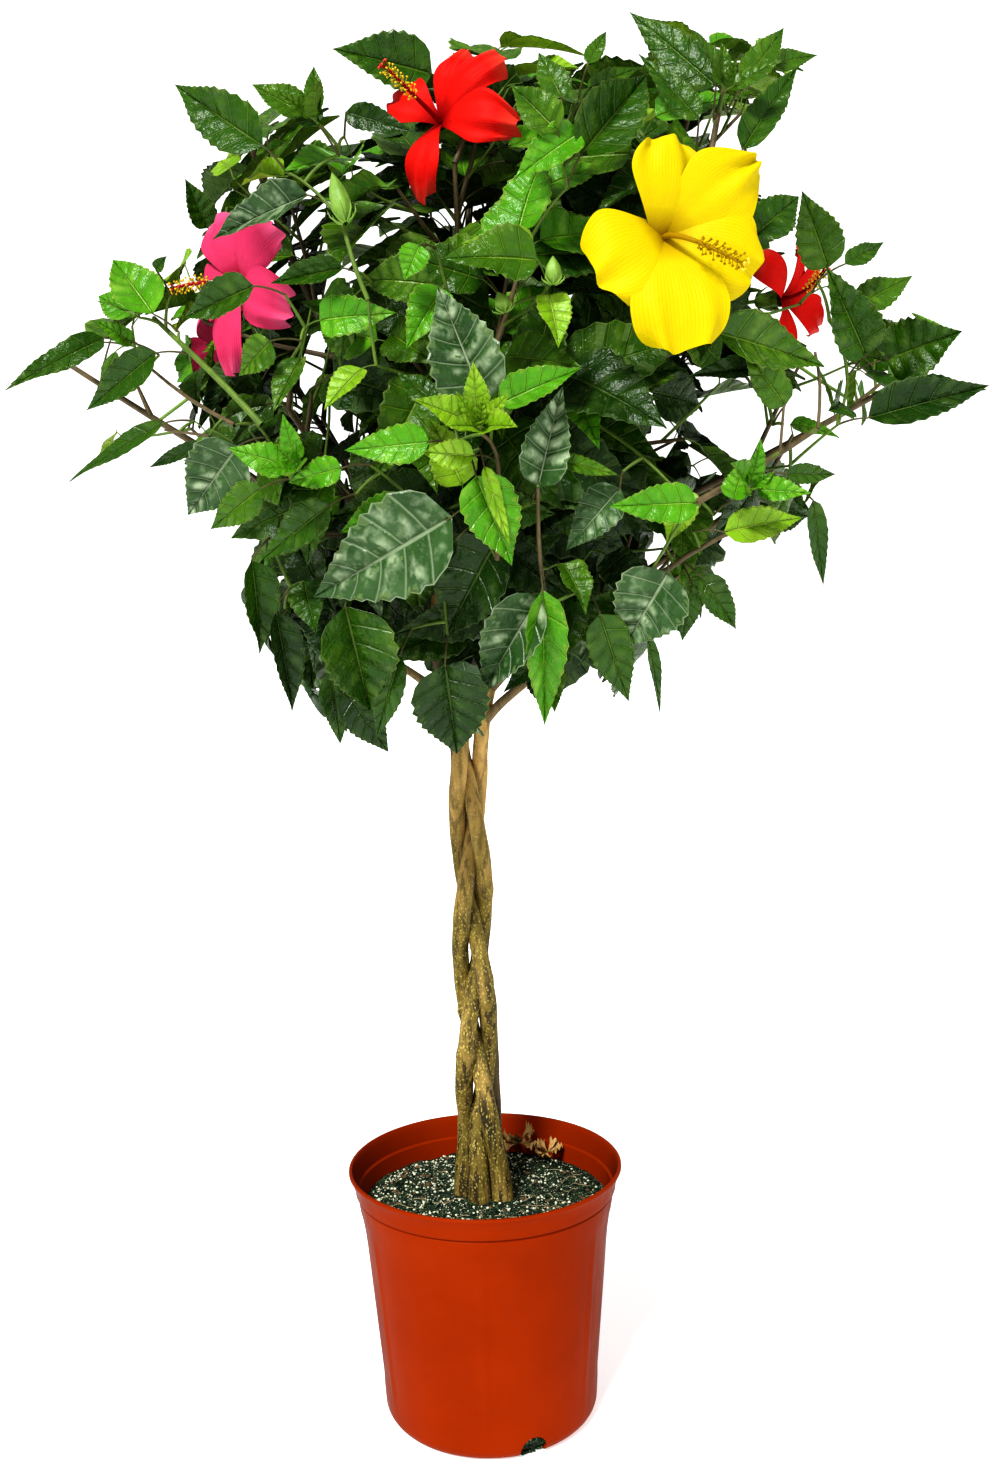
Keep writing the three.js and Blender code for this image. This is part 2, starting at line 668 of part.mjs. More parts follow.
// A leaf and its stalk as one closed mesh: a three-sided stalk, and a blade of two fans
// that share their rim.
function leafGeometry({ node, base, axis, normal, length, width }) {
  const way = base.clone().sub(node).normalize();
  const side = normal.clone().cross(axis);
  const stalkSide = sum([side, 1], [way, -side.dot(way)]).normalize();
  const stalkUp = way.clone().cross(stalkSide);
  const half = LEAF.thickness / 2;
  const r = LEAF.stalkRadius;
  const section = [30, 150, 270].map(THREE.MathUtils.degToRad).map((a) => [Math.cos(a), Math.sin(a)]);
  const stalkEnd = (p) => section.map(([a, b]) => sum([p, 1], [stalkSide, r * a], [stalkUp, r * b]));
  const onBlade = (s, w, n) => sum([base, 1], [axis, length * s], [side, width * w], [normal, length * n]);
  const points = [
    ...stalkEnd(node),
    ...stalkEnd(base),
    onBlade(LEAF.corner, 0.5, LEAF.cup),
    onBlade(1, 0, -LEAF.droop),
    onBlade(LEAF.corner, -0.5, LEAF.cup),
    onBlade(LEAF.ribMiddle, 0, half - LEAF.cup),
    onBlade(LEAF.ribMiddle, 0, -half - LEAF.cup),
  ];
  const faces = [[1, 0, 2], [1, 4, 3], [1, 3, 0], [2, 5, 4], [2, 4, 1], [0, 3, 5], [0, 5, 2]];
  const over = [4, 8, 7, 6, 3];
  const under = [3, 6, 7, 8, 4, 5];
  over.forEach((p, i) => faces.push([9, p, over[(i + 1) % over.length]]));
  under.forEach((p, i) => faces.push([10, p, under[(i + 1) % under.length]]));
  return meshGeometry(points, faces);
}

// Blooms

function facing({ azimuth, elevation }) {
  const [a, e] = [azimuth, elevation].map(THREE.MathUtils.degToRad);
  return vec(Math.cos(e) * Math.cos(a), Math.cos(e) * Math.sin(a), Math.sin(e));
}

// A bloom's own directions: the way it faces, its right and its top.
function bloomFrame(bloom) {
  const front = facing(bloom);
  const right = front.clone().cross(UP).normalize();
  return { front, right, top: right.clone().cross(front) };
}

// Points of a petal's rim and middle, as shares of its length: out from the throat, across, forwards.
const PETAL_RIM = [
  [0.02, 0.03, 0], [0.5, 0.32, 0.2], [0.95, 0.3, 0.12],
  [0.95, -0.3, 0.12], [0.5, -0.32, 0.14], [0.02, -0.03, 0],
];
const PETAL_MIDDLE = [0.6, 0, 0.26];

function petalGeometry(bloom, k) {
  const { front, right, top } = bloomFrame(bloom);
  const throat = vec(...bloom.throat);
  const turn = (2 * Math.PI * (k + BLOOM.firstPetal)) / BLOOM.petals;
  const out = sum([right, Math.sin(turn)], [top, Math.cos(turn)]);
  const across = front.clone().cross(out);
  const at = ([o, a, f], thick = 0) =>
    sum([throat, 1], [out, o * bloom.petal], [across, a * bloom.petal], [front, f * bloom.petal + thick]);
  const half = BLOOM.petalThickness / 2;
  const points = [...PETAL_RIM.map((p) => at(p)), at(PETAL_MIDDLE, half), at(PETAL_MIDDLE, -half)];
  const n = PETAL_RIM.length;
  const faces = PETAL_RIM.flatMap((_, i) => {
    const j = (i + 1) % n;
    return [[n, j, i], [n + 1, i, j]];
  });
  return meshGeometry(points, faces);
}

// The stalk that carries a bloom, from the stem of its mass to the bloom's calyx.
function bloomStalk(bloom, stem) {
  const { front } = bloomFrame(bloom);
  const root = stem.getPoint(bloom.from);
  const calyx = sum([vec(...bloom.throat), 1], [front, -BLOOM.calyx.length]);
  const bend = sum([calyx, 1], [front, -BLOOM.stalk.bend * root.distanceTo(calyx)]);
  return new THREE.QuadraticBezierCurve3(root, bend, calyx);
}

function bloomSolids(bloom, stem) {
  const { front } = bloomFrame(bloom);
  const { stalk, calyx, column } = BLOOM;
  const along = (d) => sum([vec(...bloom.throat), 1], [front, d]);
  const cup = [along(-calyx.length - 1), along(8 - calyx.length), along(5)];
  const pistil = [along(-2), along(bloom.petal * column.share)];
  const petals = Array.from({ length: BLOOM.petals }, (_, k) => petalGeometry(bloom, k));
  return [
    limb(samplesOf(bloomStalk(bloom, stem), 2), [stalk.bud, stalk.radius, stalk.radius], 3),
    limb(cup, [2, calyx.radius, calyx.throat], 5),
    limb(pistil, [column.base, column.tip], 3),
    ...petals,
  ].map(solidOf);
}

// A bloom keeps its own room, and the view of it stays open.
function occupyBloom(bloom) {
  const { front, right, top } = bloomFrame(bloom);
  const throat = vec(...bloom.throat);
  const size = bloom.petal;
  for (const share of [0.3, 0.6, 0.9]) {
    const around = Array.from({ length: 12 }, (_, i) => {
      const a = (i * Math.PI) / 6;
      const [x, y] = [share * size * Math.cos(a), share * size * Math.sin(a)];
      return sum([throat, 1], [right, x], [top, y], [front, 0.2 * size]);
    });
    occupy(around, 14, "bloom");
  }
  const ahead = [0.6, 1, 1.4].map((d) => sum([throat, 1], [front, d * size]));
  occupy(ahead, [0.6 * size, 0.6 * size, 0.55 * size], "bloom");
  occupy([sum([throat, 1], [front, -15])], 12, "bloom");
  const { stem } = MASSES.find((mass) => mass.name === bloom.mass);
  occupy(samplesOf(bloomStalk(bloom, stem), 12), 3, "twig");
}

// Assembly

const shrub = new THREE.Group();
shrub.name = "hibiscus_standard";

const plastic = new THREE.MeshStandardMaterial({ color: 0xc23a0c, roughness: 0.38 });
const peat = new THREE.MeshStandardMaterial({ color: 0x2c2a22, roughness: 0.95 });
const bark = new THREE.MeshStandardMaterial({ color: 0x8a7440, roughness: 0.8 });
const greenwood = new THREE.MeshStandardMaterial({ color: 0x75663c, roughness: 0.75 });
const foliage = new THREE.MeshStandardMaterial({ color: 0x2f6b22, roughness: 0.4 });

function add(name, solid, material) {
  const mesh = new THREE.Mesh(geometryOf(solid), material);
  mesh.name = name;
  shrub.add(mesh);
}

add("pot", potSolid(), plastic);
add("soil", soilSolid(), peat);

const stemCount = BRAID.strands + 1;
const keepOff = [];
for (let i = 0; i < stemCount; i += 1) {
  add(`stem_${i + 1}`, stemSolid(i, keepOff), bark);
  keepOff.push(wholeStem(i, CUT));
  const { points, radii } = stemLine(i, 120);
  occupy(points, radii, "limb");
}

for (const mass of MASSES) {
  add(`bough_${mass.name}`, boughSolid(mass, keepOff), greenwood);
  occupy(boughLine(mass).getPoints(40), BOUGH.baseRadius, "limb");
  mass.draw = draws(mass.seed);
  mass.stem = massStem(mass);
  mass.heart = mass.stem.getPoint(0.75);
  occupy(samplesOf(mass.stem, 30), TWIG.stemRadius, "twig");
}
BLOOMS.forEach(occupyBloom);
for (const mass of MASSES) mass.grown = growShoots(mass);
for (const mass of MASSES) mass.leaves = growLeaves(mass);

// One solid for each mass: its stem, shoots and blooms, and the leaves that touch no other mass.
for (const mass of MASSES) {
  const last = TWIG.stemSteps;
  const stemRadii = mass.stem.corners.map((_, i) => mix(TWIG.stemRadius, TWIG.shootRadius, i / last));
  const shootRadii = [TWIG.budRadius, TWIG.shootRadius, TWIG.tipRadius];
  const blooms = BLOOMS.filter((bloom) => bloom.mass === mass.name);
  mass.solid = wasm.Manifold.union([
    solidOf(limb(mass.stem.corners, stemRadii, TWIG.sides)),
    ...mass.grown.map(({ curve }) => solidOf(limb(curve.corners, shootRadii, TWIG.sides))),
    ...blooms.flatMap((bloom) => bloomSolids(bloom, mass.stem)),
  ]);
}
for (const mass of MASSES) {
  const others = MASSES.filter((other) => other !== mass);
  const leaves = mass.leaves
    .map((leaf) => solidOf(leafGeometry(leaf)))
    .filter((leaf) => others.every((other) => other.solid.intersect(leaf).isEmpty()));
  mass.solid = largest(wasm.Manifold.union([mass.solid, ...leaves])).simplify(0.02);
  add(`foliage_${mass.name}`, mass.solid, foliage);
}

export default shrub;
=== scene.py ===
"""A hibiscus grown as a small tree in a nursery pot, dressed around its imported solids.

Lengths are millimetres until a piece is made, and then metres, in the frame of the solids:
+Z up, the viewer on the -Y side, the origin in the middle of the pot's flat underside.
"""

import json
import math

import bpy
import numpy as np
from mathutils import Matrix

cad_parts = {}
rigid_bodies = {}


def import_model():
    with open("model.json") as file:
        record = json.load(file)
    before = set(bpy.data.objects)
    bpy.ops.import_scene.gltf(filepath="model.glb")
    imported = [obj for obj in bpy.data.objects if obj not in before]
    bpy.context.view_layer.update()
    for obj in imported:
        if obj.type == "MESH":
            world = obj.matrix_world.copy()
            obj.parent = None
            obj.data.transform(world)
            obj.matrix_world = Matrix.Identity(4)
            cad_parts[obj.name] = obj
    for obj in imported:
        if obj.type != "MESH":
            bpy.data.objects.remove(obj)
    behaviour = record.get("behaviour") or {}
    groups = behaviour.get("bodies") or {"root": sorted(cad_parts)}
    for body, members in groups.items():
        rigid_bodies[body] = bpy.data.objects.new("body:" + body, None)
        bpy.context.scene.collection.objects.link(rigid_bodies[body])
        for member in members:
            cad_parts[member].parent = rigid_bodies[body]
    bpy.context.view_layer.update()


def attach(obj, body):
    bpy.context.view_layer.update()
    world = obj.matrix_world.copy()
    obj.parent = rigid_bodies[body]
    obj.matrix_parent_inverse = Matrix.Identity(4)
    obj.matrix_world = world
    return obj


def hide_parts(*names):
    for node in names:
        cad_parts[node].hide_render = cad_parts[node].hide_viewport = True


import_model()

MM = 0.001
TAU = 2 * math.pi

# The photograph's camera, in its own pixels and in millimetres and degrees

PHOTO = {"width": 997, "height": 1459, "focal": 1400, "middle_x": 472, "middle_y": 730}
EYE = {"back": 1330, "height": 787, "down": 5.0, "roll": 1.7}
SENSOR = 36

# The studio: how brightly its white surroundings light the plant and show behind it, and its floor in
# metres; then each sun by the way it comes from, its spread in degrees and its strength.

STUDIO = {"light": 0.34, "backdrop": 1, "floor": 60}
SUNS = {"key": ((-0.4, -0.85, 1.0), 14, 3.4), "fill": ((0.9, -0.7, 0.4), 50, 0.4)}

# Sizes of the pot and the soil

POT = {
    "height": 246,
    "lip_radius": 133,
    "ledge_radius": 127,
    "ledge_drop": 22,
    "body_top_radius": 125.5,
    "shoulder_radius": 121,
    "shoulder_drop": 46,
    "foot_radius": 104.5,
    "foot_round": 14,
    "wall": 2,
    "floor": 3,
    "segments": 240,
}
PANEL = {"count": 6, "first_turn": -93, "depth": 1.3, "ridge": 0.024, "low": 26, "high": 192}
DRAIN = {"count": 3, "first_turn": -68.5, "width": 26, "springing": 8}
SOIL = {"top": 216, "rings": 46, "spokes": 150, "dip": 5.5, "reach": 120, "clear_of_stems": 13}
WELD_GAP = 1e-6  # metres
SHARP_FROM = 38  # degrees

# The crumbs of soil in each drain notch: how many, how far to each side in degrees, how far in from the
# foot's radius, their height and their size

PLUG = {"crumbs": 9, "side": 6.5, "in": (9, 12), "height": (2.6, 3.4), "size": (2.2, 2.6)}

# What lies on the soil: how many of each, and their sizes; and each withered bloom's place, lift and size

LITTER = {
    "grains": 2300,
    "grain_size": (0.5, 1.8),
    "chips": 120,
    "chip_size": (1.2, 3.6),
    "chip_flat": (0.25, 0.5),
    "rootlets": 60,
    "rootlet_length": (6, 24),
    "rootlet_radius": 0.35,
    "rootlet_reach": 116,
}
WITHERED = [((37, 99), 14, 27), ((66, 85), 10, 21)]
WITHERED_PETALS = 9

# Sizes of the stems, boughs, twigs and leaves, as the solids have them

BRAID = {
    "strands": 3,
    "period": 400,
    "half_width": 12,
    "half_depth": 12,
    "foot_grow": 1.1,
    "rightmost": 520,
    "foot_end": 300,
    "top": 640,
    "leader_top": 820,
    "lean": -5,
}
STRAND = {"foot": 11.5, "low": 8.8, "top": 7.8, "leader": 5.6}
STRAND_FEET = [(-20, 7), (-6, -13), (16, -10)]
STRAND_ENDS = [(8, 34), (-32, -30), (42, -6)]
REAR_STEM = {"foot": (9, 20), "low": (9, 28), "low_height": 330, "top": (-14, 27), "end": (-42, 40)}
BOUGH = {"base": 5, "tip": 3.6, "share": 0.4, "rise": 0.3, "lift": 0.03, "bend": 0.45}
TWIG = {"stem": 4.2, "shoot": 2.8, "tip": 2.2, "stem_steps": 5, "shoot_steps": 2, "gap": 4, "root_room": 14}
SHOOT = {
    "length": 105,
    "vary": (0.75, 1.25),
    "foot_to_tip": (1.1, 0.8),
    "first": 0.12,
    "last": 0.97,
    "along": 0.5,
    "side": 0.85,
    "out": 0.4,
    "up": 0.15,
    "bend": 0.55,
    "tip": (0.35, 0.08, 0.1),
    "tries": 4,
    "try_turn": 1.3,
}
CROWN = {
    "middle": (40, 0, 985),
    "reach": (330, 320, 350),
    "squareness": 2.4,
    "low": 622,
    "high": 1336,
    "left": -446,
    "right": 512,
    "shoot_reach": 0.84,
    "usual_out": 0.78,
    "underside": 0.0019,
    "trunk": -10,
}

# Swellings of the stems: the share of the way up each one, and its size as a share of the radius

STEM_KNOTS = {0: [(0.24, 0.1), (0.5, 0.07)], 1: [(0.36, 0.09)], 2: [(0.3, 0.12), (0.62, 0.08)]}

# Each mass: its name, the leader that carries it, where its bough leaves it (0 for the leader's tip),
# the turn and rise to its tip in degrees, how far out that tip is, its shoots, its seed, and how
# fresh its leaves look, from -1 for dark to 1 for lime.

MASSES = [
    ("front", 1, 712, -94, -2, 0.76, 6, 11, 0.25),
    ("right_front", 2, 735, -52, 14, 0.76, 6, 12, 0.0),
    ("left_front", 1, 748, -136, -6, 0.78, 6, 13, 0.05),
    ("front_low", 1, 680, -98, -48, 0.8, 5, 14, -0.3),
    ("right", 2, 775, -4, 2, 1.2, 6, 15, -0.05),
    ("left", 1, 785, -172, 4, 1.2, 6, 16, 0.0),
    ("right_low", 2, 705, -20, -22, 0.78, 5, 17, -0.05),
    ("right_under", 2, 676, -46, -46, 0.76, 5, 18, -0.2),
    ("left_low", 3, 690, -154, -40, 0.84, 6, 19, -0.35),
    ("top_left", 1, 0, -162, 42, 0.95, 6, 20, 0.2),
    ("top", 0, 0, -105, 52, 0.78, 6, 21, 0.3),
    ("top_right", 2, 0, -14, 54, 0.96, 6, 22, 0.2),
    ("back_left", 3, 780, 146, 8, 0.78, 6, 23, 0.0),
    ("back", 0, 720, 92, -4, 0.78, 6, 24, 0.0),
    ("back_right", 0, 770, 42, 10, 0.78, 6, 25, 0.0),
    ("back_top", 3, 0, 100, 52, 0.78, 6, 26, 0.2),
    ("middle", 3, 760, -20, 84, 0.5, 5, 29, 0.1),
    ("back_low_left", 3, 730, 128, -42, 0.78, 5, 27, -0.25),
    ("back_low_right", 0, 685, 50, -40, 0.78, 5, 28, -0.25),
]
MASS_FIELDS = ("name", "leader", "fork", "turn", "rise", "out", "shoots", "seed", "fresh")

# Each bloom: the mass that bears it, where its stalk leaves that mass's stem, the middle of its
# throat, the way it faces as azimuth and elevation, its petals' length and its colour.

BLOOMS = [
    ("right_front", 0.9, (149, -296, 1049), -80, 4, 81, "yellow"),
    ("top", 0.85, (-12, -128, 1190), -118, 12, 68, "red"),
    ("left", 0.6, (-182, -137, 1062), -130, 0, 66, "pink"),
    ("right", 0.7, (312, 48, 1074), -42, -5, 64, "red"),
    ("back", 0.9, (40, 330, 1010), 85, 15, 76, "yellow"),
    ("back_left", 0.9, (-250, 240, 1080), 140, 10, 66, "pink"),
]
BLOOM_FIELDS = ("mass", "root", "throat", "azimuth", "elevation", "petal", "colour")

# The leaves and finer twigs that the solids leave out

SPRIG = {"length": 62, "vary": (0.75, 1.2), "places": (0.35, 0.72), "foot": 1.5, "tip": 1.0, "reach": 0.9}
LEAF = {
    "old": 118,
    "young": 68,
    "tip": 92,
    "tip_stalk": 20,
    "slender": 0.66,
    "point": 0.45,
    "droop": 0.13,
    "stalk": 30,
    "stalk_radius": 0.9,
    "internode": 26,
    "open": 2.4,
    "from": 0.26,
    "lowest": 780,
    "highest": 1260,
    "hang_low": 1.3,
    "hang_high": -0.35,
    "unrest": 0.75,
    "tries": 14,
    "try_turn": 1.4,
    "inner_node": 21,
    "inner_gap": 4.5,
    "gap": 7,
    "twig_gap": 3.5,
    "slack": 75,
    "root_room": 16,
    "stalk_gap": 3,
    "stalk_twig_gap": 1.5,
}
LEAF_ROWS = 24
INNER_LEAF_ROWS = 16
FINE_FROM = 0.72  # share of the crown's reach
LEAF_LANES = (-1, -0.72, -0.36, -0.06, 0, 0.06, 0.36, 0.72, 1)
VEIN_PAIRS = 6

# How blades differ, least and most: the cup and the rim's waves in shares of the width, the fold along
# the rib, the droop in shares of the length, how many waves, and the twist in radians; and the depth of
# the puckers, in shares of the width too.

LEAF_VARY = {
    "cup": (-0.06, 0.16),
    "fold": (0.05, 0.5),
    "droop": (0.05, 0.3),
    "wave": (0.012, 0.075),
    "waves": (8, 14),
    "twist": (-0.35, 0.35),
    "pucker": 0.032,
}

# Leaves that stand out in the photograph: the pixels of a leaf's base and tip, its width as a share of
# its length, its lean about its rib in degrees, how far out it stands as a share of the crown's reach,
# its tone, and for two that reach furthest to the sides, their depth from the pot's middle.

PLACED = {
    "middle_big": ((452, 517), (310, 600), 0.66, 12, 0.99, "grey"),
    "middle_under_big": ((457, 540), (398, 588), 0.6, 30, 0.94, "mid"),
    "middle_upright": ((485, 404), (437, 285), 0.7, -8, 0.97, "grey"),
    "middle_right_folded": ((500, 404), (580, 366), 0.5, 25, 1.0, "bright"),
    "middle_left_glossy": ((430, 442), (343, 450), 0.5, 20, 1.0, "bright"),
    "middle_left_small": ((474, 456), (420, 452), 0.62, 10, 1.0, "lime"),
    "middle_pale_edge": ((476, 476), (514, 566), 0.66, 5, 1.0, "bright"),
    "middle_pale_flap": ((484, 466), (512, 548), 0.24, 30, 1.02, "lime"),
    "middle_grey_standing": ((538, 487), (562, 386), 0.55, 0, 0.95, "grey"),
    "middle_striped": ((435, 402), (397, 370), 0.62, 10, 0.95, "mid"),
    "middle_edge_on": ((558, 460), (620, 474), 0.36, 40, 0.95, "fresh"),
    "low_round": ((445, 664), (458, 757), 0.95, 0, 0.99, "dark"),
    "low_grey": ((541, 594), (477, 698), 0.56, 10, 0.98, "grey"),
    "low_lime": ((543, 590), (546, 730), 0.36, 15, 0.99, "bright"),
    "low_dark": ((497, 540), (440, 640), 0.78, 20, 0.9, "dark"),
    "low_curled": ((540, 660), (501, 692), 0.5, 20, 0.93, "dark"),
    "left_low_big": ((345, 606), (372, 714), 0.8, 5, 0.98, "mid"),
    "left_low_tip": ((345, 690), (390, 754), 0.6, 10, 0.97, "dark"),
    "left_low_curved": ((400, 655), (374, 742), 0.4, 20, 0.96, "mid"),
    "left_low_inner": ((330, 670), (343, 746), 0.5, 20, 0.95, "mid"),
    "left_low_edge": ((276, 612), (296, 714), 0.4, 20, 0.97, "dark"),
    "left_low_outer": ((252, 560), (264, 656), 0.5, 20, 0.98, "mid"),
    "left_side_bright": ((342, 468), (286, 482), 0.6, 15, 0.98, "bright"),
    "left_side_grey": ((238, 446), (186, 517), 0.84, 10, 0.98, "grey"),
    "left_side_mid": ((262, 488), (208, 530), 0.6, 15, 0.97, "fresh"),
    "left_side_small": ((330, 505), (258, 560), 0.5, 20, 0.96, "mid"),
    "right_low_lobed": ((669, 572), (622, 650), 0.92, 5, 0.98, "grey"),
    "right_low_olive": ((700, 576), (739, 630), 0.52, 15, 0.97, "mid"),
    "right_low_behind": ((692, 584), (682, 643), 0.5, 20, 0.96, "mid"),
    "right_low_hanging": ((600, 614), (629, 705), 0.52, 10, 0.97, "mid"),
    "right_low_thin": ((648, 636), (664, 716), 0.2, 40, 0.98, "mid"),
    "right_bright": ((697, 503), (611, 506), 0.52, 15, 0.99, "bright"),
    "right_lime": ((724, 532), (806, 515), 0.5, 10, 1.0, "lime"),
    "right_striped": ((734, 500), (744, 460), 0.8, 10, 1.0, "bright"),
    "right_inner_grey": ((620, 488), (565, 550), 0.6, 20, 0.93, "grey"),
    "right_small": ((787, 474), (838, 474), 0.44, 10, 1.0, "mid"),
    "right_hanging": ((813, 500), (825, 588), 0.26, 30, 1.0, "mid"),
    "right_arched": ((716, 332), (830, 364), 0.5, 25, 0.98, "fresh"),
    "right_standing": ((785, 406), (743, 343), 0.5, 10, 0.99, "fresh"),
    "right_tip": ((868, 418), (992, 383), 0.42, 25, 1.0, "dark"),
    "right_behind": ((905, 388), (988, 386), 0.4, 40, 1.0, "dark", 0),
    "right_heart": ((886, 360), (961, 331), 0.84, 10, 1.0, "mid"),
    "right_below_bloom": ((762, 366), (690, 374), 0.4, 20, 0.95, "dark"),
    "right_upright": ((866, 356), (829, 268), 0.6, 15, 1.0, "mid"),
    "right_top": ((858, 306), (914, 272), 0.6, 20, 1.0, "fresh"),
    "right_back": ((828, 268), (803, 192), 0.66, 20, 0.88, "fresh"),
    "right_pair": ((845, 264), (886, 241), 0.5, 20, 1.0, "mid"),
    "right_beside_bloom": ((756, 234), (801, 194), 0.86, 15, 0.98, "mid"),
    "top_right_high": ((716, 86), (629, 8), 0.42, 20, 1.0, "mid"),
    "top_right_left": ((699, 120), (640, 50), 0.36, 20, 1.0, "mid"),
    "top_right_low": ((742, 150), (799, 60), 0.38, 10, 1.0, "mid"),
    "top_right_mid": ((745, 82), (786, 24), 0.52, 20, 1.0, "fresh"),
    "top_right_end": ((768, 66), (819, 52), 0.5, 25, 1.0, "fresh"),
    "top_glossy": ((580, 156), (651, 70), 0.66, 5, 0.96, "mid"),
    "top_flat": ((558, 132), (511, 82), 0.72, 10, 0.98, "fresh"),
    "top_bright": ((580, 132), (514, 176), 0.6, 25, 0.97, "bright"),
    "top_back": ((562, 98), (538, 50), 0.66, 20, 0.97, "fresh"),
    "top_tip": ((588, 64), (607, 29), 0.5, 15, 1.0, "fresh"),
    "top_between": ((588, 90), (642, 64), 0.4, 20, 0.95, "fresh"),
    "top_left_olive": ((432, 74), (334, 46), 0.62, 28, 0.72, "mid"),
    "top_left_tip": ((263, 146), (169, 83), 0.56, 5, 1.0, "mid"),
    "top_left_glossy": ((319, 126), (282, 88), 0.6, 15, 0.98, "mid"),
    "top_left_dark": ((346, 112), (410, 130), 0.46, 20, 0.94, "dark"),
    "left_over_pink": ((308, 195), (208, 236), 0.44, 35, 0.97, "grey"),
    "left_above_pink": ((208, 228), (186, 179), 0.6, 15, 0.8, "mid"),
    "left_before_pink": ((254, 286), (180, 318), 0.56, 25, 1.0, "mid"),
    "left_behind_pink": ((344, 268), (268, 282), 0.42, 20, 0.93, "mid"),
    "left_below_pink": ((271, 341), (237, 376), 0.8, 15, 0.98, "fresh"),
    "left_cluster_big": ((153, 314), (112, 256), 0.82, 10, 1.0, "bright"),
    "left_cluster_back": ((156, 270), (166, 256), 0.8, 15, 1.0, "mid"),
    "left_cluster_small": ((133, 343), (96, 320), 0.5, 20, 1.0, "bright"),
    "left_far": ((104, 338), (4, 385), 0.3, 30, 1.0, "mid"),
    "left_behind": ((98, 343), (8, 382), 0.26, 40, 1.0, "mid", -80),
    "left_far_low": ((156, 353), (83, 411), 0.42, 20, 1.0, "mid"),
    "left_hanging": ((164, 423), (63, 478), 0.2, 30, 1.0, "mid"),
    "left_hanging_small": ((202, 445), (146, 467), 0.3, 30, 1.0, "dark"),
    "inner_bright": ((420, 245), (404, 280), 0.9, 15, 0.93, "bright"),
}

# Tufts of young leaves: the pixel of the shoot's tip, how far out it stands, leaves and tone

TUFTS = {
    "middle": ((480, 428), 1.0, 9, "lime"),
    "left_shoot": ((140, 318), 1.0, 3, "bright"),
    "left_side": ((300, 470), 0.98, 6, "bright"),
    "right_side": ((748, 490), 1.0, 5, "bright"),
    "top_right": ((724, 92), 1.0, 4, "fresh"),
    "top_left": ((316, 122), 0.98, 6, "fresh"),
}

# Closed buds: the pixels of a bud's foot and tip, how far out it stands, and its width over its length

BUDS = {
    "tall": ((345, 222), (332, 173), 0.97, 0.36),
    "round": ((505, 312), (498, 292), 0.95, 0.8),
    "green": ((553, 284), (553, 256), 0.95, 0.6),
}

# Stems that show between the leaves: the pixels along each, how far out it stands, its radii at its two
# ends, and its bark.

ARMS = {
    "right": ([(690, 506), (758, 468), (818, 428)], 0.97, (2.8, 2.2), 0),
    "right_upper": ([(818, 428), (822, 384), (815, 352)], 0.98, (1.4, 1.1), 0),
    "right_inner": ([(780, 452), (784, 404)], 0.98, (1.2, 1), 0),
    "right_low": ([(640, 590), (688, 552), (744, 526)], 0.95, (2.4, 1.4), 0),
    "left": ([(262, 425), (227, 387), (190, 352), (154, 318)], 0.96, (2.8, 1.9), 2),
    "left_lower": ([(235, 425), (190, 402), (150, 368)], 0.96, (1.8, 1.2), 0),
    "left_outer": ([(210, 436), (165, 430)], 0.98, (1.2, 0.9), 0),
    "top_right": ([(700, 250), (706, 178), (717, 118), (726, 80)], 0.96, (3, 1.8), 0),
    "top_right_side": ([(708, 180), (746, 150)], 0.97, (1.4, 1), 0),
    "middle": ([(497, 560), (499, 500), (500, 446), (482, 434)], 0.95, (2, 1.4), 0),
    "middle_low": ([(560, 640), (541, 592), (538, 530), (538, 488)], 0.95, (2, 1.3), 0),
    "bud": ([(368, 300), (352, 262), (342, 220)], 0.95, (1.8, 1.6), 2),
}

# A tuft's leaves from the outermost to the youngest: their spread as a slope, their length, their foot's
# distance from the tip, and their width as a share of their length. Then their age and droop, and the
# tuft's half height and width that stay in view.

TUFT = {"spread": (1.1, 0.15), "length": (46, 15), "foot": (9, 2), "slender": (0.6, 0.34)}
TUFT_AGE, TUFT_DROOP, TUFT_REACH, TUFT_WIDTH = 1.1, 0.1, 14, 36

# A placed leaf's stalk, as shares: how far it comes from behind the leaf, from inside the crown and from
# below, and its length; and the leaf's droop. Then the fine twig to a placed thing: the gap beyond which
# there is one, and how its middle is raised and pushed outwards, as shares of its length.

STALK = {"behind": 0.5, "inside": 0.8, "below": 0.2, "length": 0.8}
PLACED_DROOP = 0.06
FINE_TWIG = {"gap": 4, "raised": 0.12, "outwards": 0.1}

# What shows in full: how far behind its middle leaves are still kept out of its view, its half length and
# half width there as shares of its own, and a margin in pixels

SHOWN = {"behind": 25, "half_length": 0.52, "half_width": 0.5, "margin": 1}

# The outline of the leaves against the sky, as pixels clockwise from the tip on the far left

